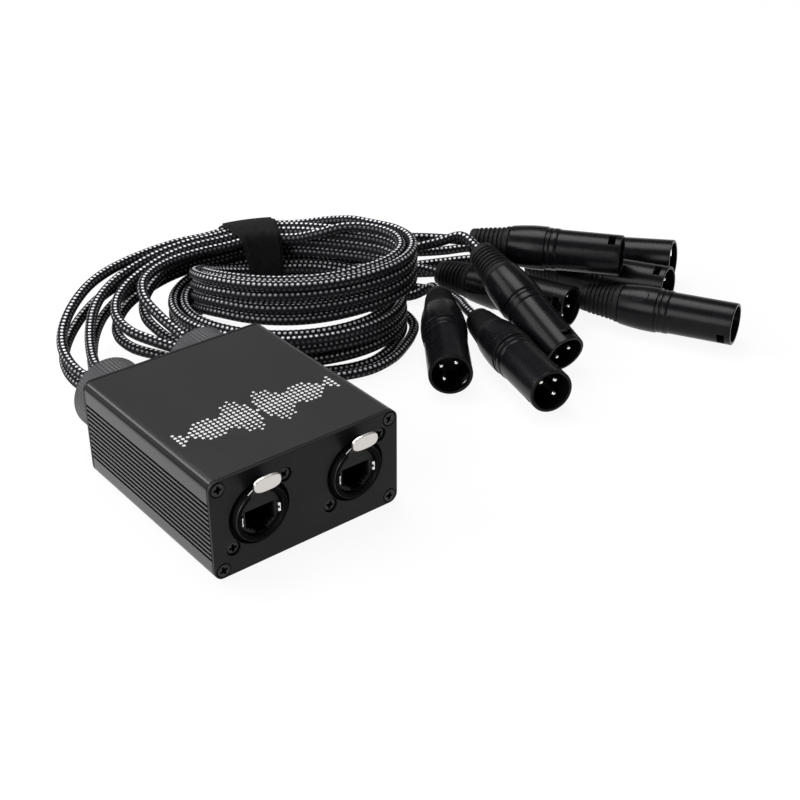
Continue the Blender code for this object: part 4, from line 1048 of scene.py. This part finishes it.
# Painted highlight: a thin bright rod on the tab's left edge stands for a line of light.
HIGHLIGHT_ROD_LINE = [(-5.6, -2.1, 10.4), (-5.05, -2.85, 11.65), (-4.5, -3.6, 12.9)]
HIGHLIGHT_ROD_RADIUS = 0.25 * MM
for side, x in SOCKET_X.items():
    outline = oval(x, TAB_MIDDLE, 5.45 * MM, 2.8 * MM, 64, 0.72)
    finish_piece(f"{side}_tab_plate",
                 slab(lipped(outline, TAB_FACE, TAB_FACE + TAB_THICKNESS, 0.34 * MM)), nickel,
                 f"socket_{side}_latch", f"latch_{side}")
    view = [(FRONT + y * MM, SOCKET_HEIGHT + z * MM) for y, z in ARM_VIEW]
    upright = Matrix.Translation((x, 0.0, 0.0)) @ Matrix.Rotation(math.pi / 2, 4, "Z")
    finish_piece(f"{side}_tab_arm", slab(lipped(view, -ARM_HALF_WIDTH, ARM_HALF_WIDTH, 0.15 * MM)),
                 painted_shade_arm_metal, body=f"latch_{side}", matrix=upright)
    finish_piece(f"{side}_tab_highlight_rod", tube(from_socket(x, HIGHLIGHT_ROD_LINE), HIGHLIGHT_ROD_RADIUS, 8),
                 spring_metal, body=f"latch_{side}")
print("tabs: 2")

# %% [markdown]
# ## The cable glands
# Each gland is a nylon fitting: a body through the rear panel, and a cap that squeezes a
# rubber seal round the four leads. The cap is ribbed for a good grip. A turned profile with a
# ripple makes the ribs, because the radius only changes from step to step round the cap.

# %% Nylon and rubber
nylon = Finish("black_nylon", (0.045, 0.045, 0.048), 0.5, specular=0.3)
skin = nylon.grain(2600.0, 3.0)
nylon.wear(skin, 0.4, 0.2, 0.00002, colour=nylon.mix(skin.above(0.3, 0.7), (0.038, 0.038, 0.041),
                                                     (0.052, 0.052, 0.055)))

rubber = Finish("seal_rubber", grey(0.018), 0.75, specular=0.25)
dust = rubber.grain(1800.0, 3.0)
rubber.wear(dust, 0.65, 0.2, 0.00003, colour=rubber.mix(dust.above(0.5, 0.8),
                                                        grey(0.014),
                                                        grey(0.024)))

# %% Gland bodies and ribbed caps
CAP_RIBS = 62
RIB_DEPTH = 0.42
RIBBED = (3, 4)
CAP_PROFILE = [(2.6, 14.6), (2.8, 15.1), (3.4, 15.2), (3.7, 15.2), (18.2, 15.2), (18.6, 15.2),
               (19.6, 14.5), (20.6, 13.4), (21.0, 12.8), (21.0, 7.9), (20.8, 7.6), (18.6, 7.6),
               (15.7, 11.7), (2.6, 11.7)]
BODY_PROFILE = [(-9.5, 9.7), (0.3, 9.7), (0.3, 13.1), (0.5, 13.4), (2.1, 13.4), (2.3, 13.2),
                (2.3, 11.4), (15.3, 11.4), (15.3, 8.7), (5.3, 8.7), (5.3, 7.2), (-9.5, 7.2)]


def cap_ripple(number, step):
    return -RIB_DEPTH if number in RIBBED and step % 4 in (2, 3) else 0.0


for side, x in SOCKET_X.items():
    place = inwards(x, GLAND_HEIGHT, REAR)
    finish_piece(f"{side}_gland_body", turned(BODY_PROFILE, 64, closed=True), nylon,
                 f"gland_{side}_body", matrix=place)
    finish_piece(f"{side}_gland_cap", turned(CAP_PROFILE, CAP_RIBS * 4, True, cap_ripple),
                 nylon, f"gland_{side}_cap", f"cap_{side}", place)
print("gland caps with", CAP_RIBS, "ribs each")

# %% [markdown]
# ## CAD pieces that stay
# The seals, the nuts inside and the circuit board have the right shape already. They only
# get a better finish, in the slots of their own meshes.

# %% Finishes for the pieces that stay
laminate = Finish("green_board", (0.02, 0.09, 0.04), 0.4)
lanes_x, lanes_y = (((laminate.along(name) * 0.4).rest() - 0.5).size() for name in "XY")
lanes = laminate.node("ShaderNodeMix", {"data_type": "FLOAT"},
                      {0: laminate.grain(90.0, 1.0).above(0.48, 0.52), 2: lanes_x, 3: lanes_y})
track = 1 - lanes.above(0.12, 0.16)
laminate.wear(laminate.grain(800.0), 0.3, 0.2, normal=laminate.relief(track, 0.00003, 0.6),
              colour=laminate.mix(track, (0.012, 0.06, 0.028), (0.03, 0.13, 0.055)))


def dress(node, finish):
    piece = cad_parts[node]
    piece.data.materials.clear()
    piece.data.materials.append(finish.material)


dress("circuit_board", laminate)
for side in SOCKET_X:
    dress(f"gland_{side}_seal", rubber)
    dress(f"gland_{side}_locknut", nylon)
print("dressed: circuit_board, seals, locknuts")

# %% [markdown]
# ## The strap
# A black hook-and-loop strap holds the coil. A band that is pulled tight lies on the outermost
# leads, so its outline is worked out from where they are, and swept along the coil. A second
# layer shows where its end overlaps. The fabric is a dense felt of loops, so its finish is
# rough, and noise at two scales gives the nap. Cloth simulation would add little here.

# %% Hook-and-loop fabric
felt = Finish("hook_and_loop", grey(0.006), 0.95, specular=0.05,
              Sheen_Weight=0.03, Sheen_Roughness=0.6)
loops = felt.grain(2600.0, 4.0, roughness=0.7)
tufts = felt.grain(420.0)
felt.paint(colour=felt.mix(loops * tufts * 2.0, grey(0.002), (0.012, 0.012, 0.013)),
           roughness=0.98 - loops * 0.1, normal=felt.relief(loops + tufts * 0.6, 0.00025, 0.9))

# %% The outline that the strap takes round the leads
OUTLINE_STEPS = 56
ROUNDING = 0.9 * MM
LOWEST = 0.1 * MM


def coil_section(angle):
    """Where the leads' middles lie at one coil angle: (outwards, up) for every pass."""
    places = []
    for lap in range(3):
        for lane in range(2 * LEADS_PER_GLAND):
            point = coil_point(COIL_ENTRY - angle + 360.0 * lap, lane % 2, lane // 2)
            flat = point - COIL_CENTRE
            reach = flat.x * math.cos(COIL_TURN) + flat.y * math.sin(COIL_TURN)
            places.append(Vector((reach / math.cos(math.radians(angle)) - COIL_HALF_LENGTH,
                                  point.z)))
    return places


def strap_outline(angle, away, first=0, last=OUTLINE_STEPS):
    """Points round all the leads, as a tight band has them, counterclockwise from outwards.
    In each direction the outermost leads count most, which rounds the band a little."""
    places = coil_section(angle)
    points = []
    for heading in circle(0.0, 0.0, 1.0, OUTLINE_STEPS)[first:last]:
        heading = Vector(heading)
        most = max(place.dot(heading) for place in places)
        weights = [math.exp((place.dot(heading) - most) / ROUNDING) for place in places]
        middle = sum((p * w for p, w in zip(places, weights)), Vector((0.0, 0.0))) / sum(weights)
        reach = LEAD_DIAMETER / 2 + away + most - middle.dot(heading)
        point = middle + heading * reach
        points.append(coil_place(angle, point.x, max(point.y, LOWEST)))
    return points


# %% The strap and its overlapping end
STRAP_HALF_WIDTH = 9.6 * MM
STRAP_REACH = math.degrees(STRAP_HALF_WIDTH / COIL_HALF_LENGTH)
STRAP_CLEARANCE = 0.15 * MM
STRAP_STEPS = 14
FLAP_SPAN = (8, 37)
stations = spread(STRAP_ANGLE - STRAP_REACH, STRAP_ANGLE + STRAP_REACH, STRAP_STEPS)
inner, outer = [], []
for number, angle in enumerate(stations):
    worn = 0.10 * MM * math.sin(1.7 * number)
    if number in (0, STRAP_STEPS):
        worn -= 0.25 * MM
    inner.append(strap_outline(angle, STRAP_CLEARANCE))
    outer.append(strap_outline(angle, STRAP_CLEARANCE + STRAP_THICKNESS + worn))
strap = finish_piece("strap_band", loft(inner + outer[::-1], closed=True), felt,
                     "cable_strap", flat_angle=50.0)

sheets = []
for angle in stations[1:-1]:
    low, high = (strap_outline(angle, STRAP_CLEARANCE + away, *FLAP_SPAN)
                 for away in (STRAP_THICKNESS - 0.1 * MM, 1.75 * STRAP_THICKNESS))
    sheets.append(low + high[::-1])
flap = finish_piece("strap_end", loft(sheets), felt, flat_angle=50.0)
print("strap faces:", len(strap.data.polygons) + len(flap.data.polygons))

# %% [markdown]
# ## The plugs
# Each lead ends in a three-pin plug: a ribbed rubber boot against kinks, a tapered handle, and
# a metal shell with a small square window for the latch of its mate. All are turned forms, so
# each is one profile. The shell's window is made by leaving out the faces between two angles
# and walling the opening, which keeps the rest of the barrel perfectly round.

# %% Plug finishes
coat = Finish("satin_black_coat", (0.004, 0.004, 0.005), 0.26, specular=0.13)
coat.wear(coat.grain(1500.0), 0.22, 0.10, 0.000004, 0.4,
          colour=coat.mix(coat.grain(150.0).above(0.3, 0.7), (0.003, 0.003, 0.004),
                          (0.005, 0.005, 0.006)))

boot_rubber = Finish("boot_rubber", (0.005, 0.005, 0.006), 0.5, specular=0.15)
matt = boot_rubber.grain(2200.0, 3.0)
boot_rubber.wear(matt, 0.45, 0.2, 0.00002,
                 colour=boot_rubber.mix(matt, (0.004, 0.004, 0.005), (0.007, 0.007, 0.008)))

core = Finish("black_insulator", grey(0.004), 0.5, specular=0.15)
core.wear(core.grain(2500.0), 0.4, 0.2)

silver = Finish("silver_pin", (0.86, 0.85, 0.82), 0.2, 1.0)
silver.wear(silver.grain(2200.0), 0.14, 0.16)

# %% Profiles of the plug
SHELL_PROFILE = [
    (19.7, 8.9), (19.85, 9.15), (20.2, 9.25), (25.0, 9.85), (30.0, 10.25), (33.0, 10.3),
    (36.6, 10.3), (36.9, 10.22), (37.1, 10.0), (37.2, 9.62), (37.5, 9.62), (37.62, 9.78),
    (37.95, 9.88), (38.4, 9.9), (38.85, 9.88), (39.2, 9.78), (39.4, 9.62), (39.7, 9.62),
    (39.85, 9.78), (40.3, 9.88), (41.0, 9.9), (41.7, 9.88), (42.3, 9.8), (42.6, 9.66),
    (42.8, 9.5), (66.0, 9.5), (69.4, 9.5), (71.6, 9.5), (71.85, 9.42), (72.0, 9.2),
    (72.0, 8.35), (71.85, 8.16), (71.6, 8.1), (69.4, 8.1), (66.0, 8.1), (48.0, 8.1),
    (48.0, 4.0), (19.7, 4.0),
]
WINDOW = (66.0, 69.4)
WINDOW_HALF_ANGLE = math.asin(3.0 / 9.5)
WINDOW_STEPS = 6
BARREL_STEPS = 60
boot_profile = [(0.0, 2.4), (0.0, 5.3), (0.25, 5.75), (0.8, 6.1), (2.6, 6.35), (3.3, 6.4)]
for rib in range(6):
    start = 3.4 + 2.15 * rib
    radius = 6.3 + 2.3 * start / 19.4
    boot_profile += [(start + along, radius + out) for along, out in
                     [(0.15, -0.75), (0.75, -0.8), (0.9, -0.1), (1.15, 0.12), (1.75, 0.14),
                      (2.0, -0.1)]]
boot_profile += [(16.5, 7.7), (17.1, 7.75), (17.25, 8.5), (17.5, 8.65), (19.1, 8.7),
                 (19.35, 8.5), (19.4, 8.2), (19.4, 3.6), (27.4, 3.6), (27.4, 2.4)]
INSULATOR_PROFILE = [(48.3, 7.6), (56.7, 7.6), (56.95, 7.5), (57.0, 7.3)]
PIN_PROFILE = [(55.0, 1.2), (67.6, 1.2), (68.3, 1.08), (68.8, 0.75), (69.0, 0.35)]
PIN_PLACES = [(4.6, 0.0), (0.0, -4.6), (-4.6, 0.0)]
# The pad on the handle: its middle, half length, half width, and steps of (lift, share).
PAD_MIDDLE, PAD_HALF_LENGTH, PAD_HALF_WIDTH = 28.6, 4.6, 3.0
PAD_STEPS = [(-0.3, 1.0), (0.12, 1.0), (0.17, 0.94), (0.02, 0.88), (0.0, 0.5), (0.0, 0.1)]


# %% A barrel with a window
def barrel():
    """The shell's profile turned round X. The faces between the window's two places and two
    angles are left out, and the opening gets walls."""
    shape = bmesh.new()
    first, last = math.pi / 2 - WINDOW_HALF_ANGLE, math.pi / 2 + WINDOW_HALF_ANGLE
    angles = spread(first, last, WINDOW_STEPS)
    angles += spread(last, first + 2 * math.pi, BARREL_STEPS)[1:-1]
    rings = [add_ring(shape, [turned_point(*point, angle) for angle in angles])
             for point in SHELL_PROFILE]
    for number, ring in enumerate(rings):
        other = (number + 1) % len(rings)
        opened = all(SHELL_PROFILE[n][0] in WINDOW for n in (number, other))
        for step in range(WINDOW_STEPS if opened else 0, len(angles)):
            after = (step + 1) % len(angles)
            shape.faces.new((ring[step], ring[after], rings[other][after], rings[other][step]))
    edges = [[ring for ring, point in zip(rings, SHELL_PROFILE) if point[0] == place]
             for place in WINDOW]
    for outer, inner in edges:
        for step in range(WINDOW_STEPS):
            shape.faces.new((outer[step], outer[step + 1], inner[step + 1], inner[step]))
    (near_outer, near_inner), (far_outer, far_inner) = edges
    for step in (0, WINDOW_STEPS):
        shape.faces.new((near_outer[step], far_outer[step], far_inner[step], near_inner[step]))
    return shape


# %% A shallow oval pad on the handle
def handle_pad(turned_by):
    """A raised oval that follows the tapered handle round."""
    rows = []
    for lift, share in PAD_STEPS:
        row = []
        for c, s in circle(0.0, 0.0, share, 40):
            along = PAD_MIDDLE + PAD_HALF_LENGTH * c
            radius = 9.25 + 1.05 * min(1.0, (along - 20.2) / 12.0) + lift
            row.append(turned_point(along, radius, turned_by + PAD_HALF_WIDTH * s / 10.0))
        rows.append(row)
    return loft(rows)


# %% The eight plugs
for number, cable_end, mouth, roll, *_ in PLUGS:
    matrix = frame_along(Vector(cable_end) * MM, Vector(mouth) - Vector(cable_end),
                         math.radians(roll))
    name = f"plug_{number}"
    made = [("ribbed_boot", turned(boot_profile, 48, closed=True), boot_rubber, "boot_black",
             "boot"),
            ("barrel", barrel(), coat, "plug_black", "shell"),
            ("insulator", turned(INSULATOR_PROFILE, 48), core, "socket_black", "insert"),
            ("pad_a", handle_pad(0.0), coat, "plug_black", None),
            ("pad_b", handle_pad(math.pi), coat, "plug_black", None)]
    pieces = [finish_piece(f"{name}_{part}", shape, finish, node and f"{name}_{node}",
                           matrix=matrix) for part, shape, finish, slot, node in made]
    for count, (y, z) in enumerate(PIN_PLACES, 1):
        place = matrix @ Matrix.Translation((0.0, y * MM, z * MM))
        pieces.append(finish_piece(f"{name}_pin_{count}", turned(PIN_PROFILE, 20), silver,
                                   matrix=place))

# %% [markdown]
# ## The leads
# Each lead's line is looked up in turn, but nothing more is done with it here; the count of
# leads is printed.

# %% The leads' lines
for number, lead in leads.items():
    line = lead_lines[number]
print("cords:", len(leads))

# %% [markdown]
# ## The print on the lid
# A pale pattern of dots decorates the lid's front half. It is screen-printed on the real
# thing, so each dot is a thin disc of paint, a few hundredths of a millimetre high. The
# pattern is a plain wave: columns of dots, mirrored about a middle line.

# %% Printed dots
ink = Finish("pale_ink", (0.60, 0.60, 0.61), 0.6, specular=0.3)
ink_grain = ink.grain(3000.0)
ink.wear(ink_grain, 0.5, 0.2, colour=ink.mix(ink_grain, (0.55, 0.55, 0.56), (0.66, 0.66, 0.67)))

DOT_PITCH = 1.95 * MM
DOT_RADIUS = 0.70 * MM
DOT_LINE = -21.0 * MM
shape = bmesh.new()
dots = 0
for column in range(-17, 18):
    swell = abs(math.sin(column * 0.42)) ** 0.8 * (1.0 - abs(column) / 22.0)
    reach = round(0.4 + 6.2 * swell)
    for row in range(-reach, reach + 1):
        radius = DOT_RADIUS * (1.0 - 0.28 * abs(row) / 7.0)
        loft([[(x, y, CASE_HEIGHT + up) for x, y in
               circle(column * DOT_PITCH, DOT_LINE + row * DOT_PITCH, radius * share, 14)]
              for share, up in ((1.0, -0.02 * MM), (0.97, 0.03 * MM))], shape=shape)
        dots += 1
finish_piece("lid_print", shape, ink)
print("dots:", dots)

# %% [markdown]
# ## Floor, background and light
# The photograph has a pure white ground and soft light from behind on the left. The floor is
# a wide pale sheet. Where the camera or a reflection looks at it, most of its white is its
# own glow, so the light on the object can stay at a plain level and only a faint shadow is
# left. The world is white round the horizon and dimmer overhead, as in a studio whose
# ceiling is dark, and as a lamp it is weak. Three wide softboxes light the object: the one
# behind draws the lines of light on the case's ribs and leads, and none is so small and
# strong that its reflection would bleach the lid from another side.

# %% The floor
WHITE = grey(1.0)
FLOOR_REACH = 6.0
FLOOR_GLOW = 0.91


def ray_share(finish, *kinds):
    """1 for a ray of one of the kinds, such as Camera, and 0 for others."""
    path = finish.node("ShaderNodeLightPath")
    share = path.output(f"Is {kinds[0]} Ray")
    for kind in kinds[1:]:
        share = share + path.output(f"Is {kind} Ray")
    return share


floor_finish = Finish("pale_floor", grey(0.86), 0.9, specular=0.1)
floor_finish.paint(colour=floor_finish.mix(floor_finish.grain(300.0), grey(0.855),
                                           grey(0.865)))
seen = ray_share(floor_finish, "Camera", "Glossy", "Transmission")
glow = floor_finish.node("ShaderNodeEmission", {}, {"Color": WHITE, "Strength": 1.0})
plain = Reading(floor_finish, floor_finish.shader.outputs[0])
floor_finish.set_socket(floor_finish.tree.nodes["Material Output"].inputs["Surface"],
                        floor_finish.blend(seen * FLOOR_GLOW, plain, glow))
shape = bmesh.new()
shape.faces.new(add_ring(shape, [(x, y, 0.0) for x, y in rectangle(
    -FLOOR_REACH, -FLOOR_REACH, FLOOR_REACH, FLOOR_REACH)]))
floor_mesh = bpy.data.meshes.new("floor")
shape.to_mesh(floor_mesh)
shape.free()
floor_mesh.materials.append(floor_finish.material)
floor = bpy.data.objects.new("floor", floor_mesh)
bpy.context.scene.collection.objects.link(floor)


# %% The world
class Surroundings(Finish):
    """The world's nodes, made in the way of a finish."""

    def __init__(self, name):
        world = bpy.data.worlds.new(name)
        world.use_nodes = True
        self.tree = world.node_tree
        bpy.context.scene.world = world

    def backdrop(self, strength):
        return self.node("ShaderNodeBackground", {}, {"Color": WHITE, "Strength": strength})


studio = Surroundings("studio")
up = studio.axis(studio.node("ShaderNodeTexCoord").output("Generated"), "Z")
mirrored = studio.blend(up.above(0.05, 0.45), studio.backdrop(1.0), studio.backdrop(0.1))
lit = studio.blend(ray_share(studio, "Camera", "Transmission"), studio.backdrop(0.2),
                   studio.backdrop(1.0))
sky = studio.blend(ray_share(studio, "Glossy"), lit, mirrored)
studio.set_socket(studio.tree.nodes["World Output"].inputs["Surface"], sky)
print("world nodes:", len(studio.tree.nodes))

# %% The lamps
# Name, place, the point it shines at, width in metres, power in watts.
SOFTBOXES = [
    ("rear_softbox", (-1.00, 1.15, 0.85), (0.05, 0.04, 0.0), 1.3, 24.0),
    ("left_softbox", (-1.5, -0.2, 0.8), (0.05, 0.04, 0.0), 0.9, 16.0),
    ("top_softbox", (0.2, 0.6, 1.7), (0.08, 0.05, 0.0), 1.0, 25.0),
]
for name, place, aim, size, power in SOFTBOXES:
    light = bpy.data.lights.new(name, "AREA")
    light.shape = "SQUARE"
    light.size = size
    light.energy = power
    lamp = bpy.data.objects.new(name, light)
    lamp.location = place
    lamp.rotation_euler = (Vector(aim) - Vector(place)).to_track_quat("-Z", "Y").to_euler()
    bpy.context.scene.collection.objects.link(lamp)
bpy.context.scene.view_settings.view_transform = "Standard"
print("lamps:", len(SOFTBOXES))
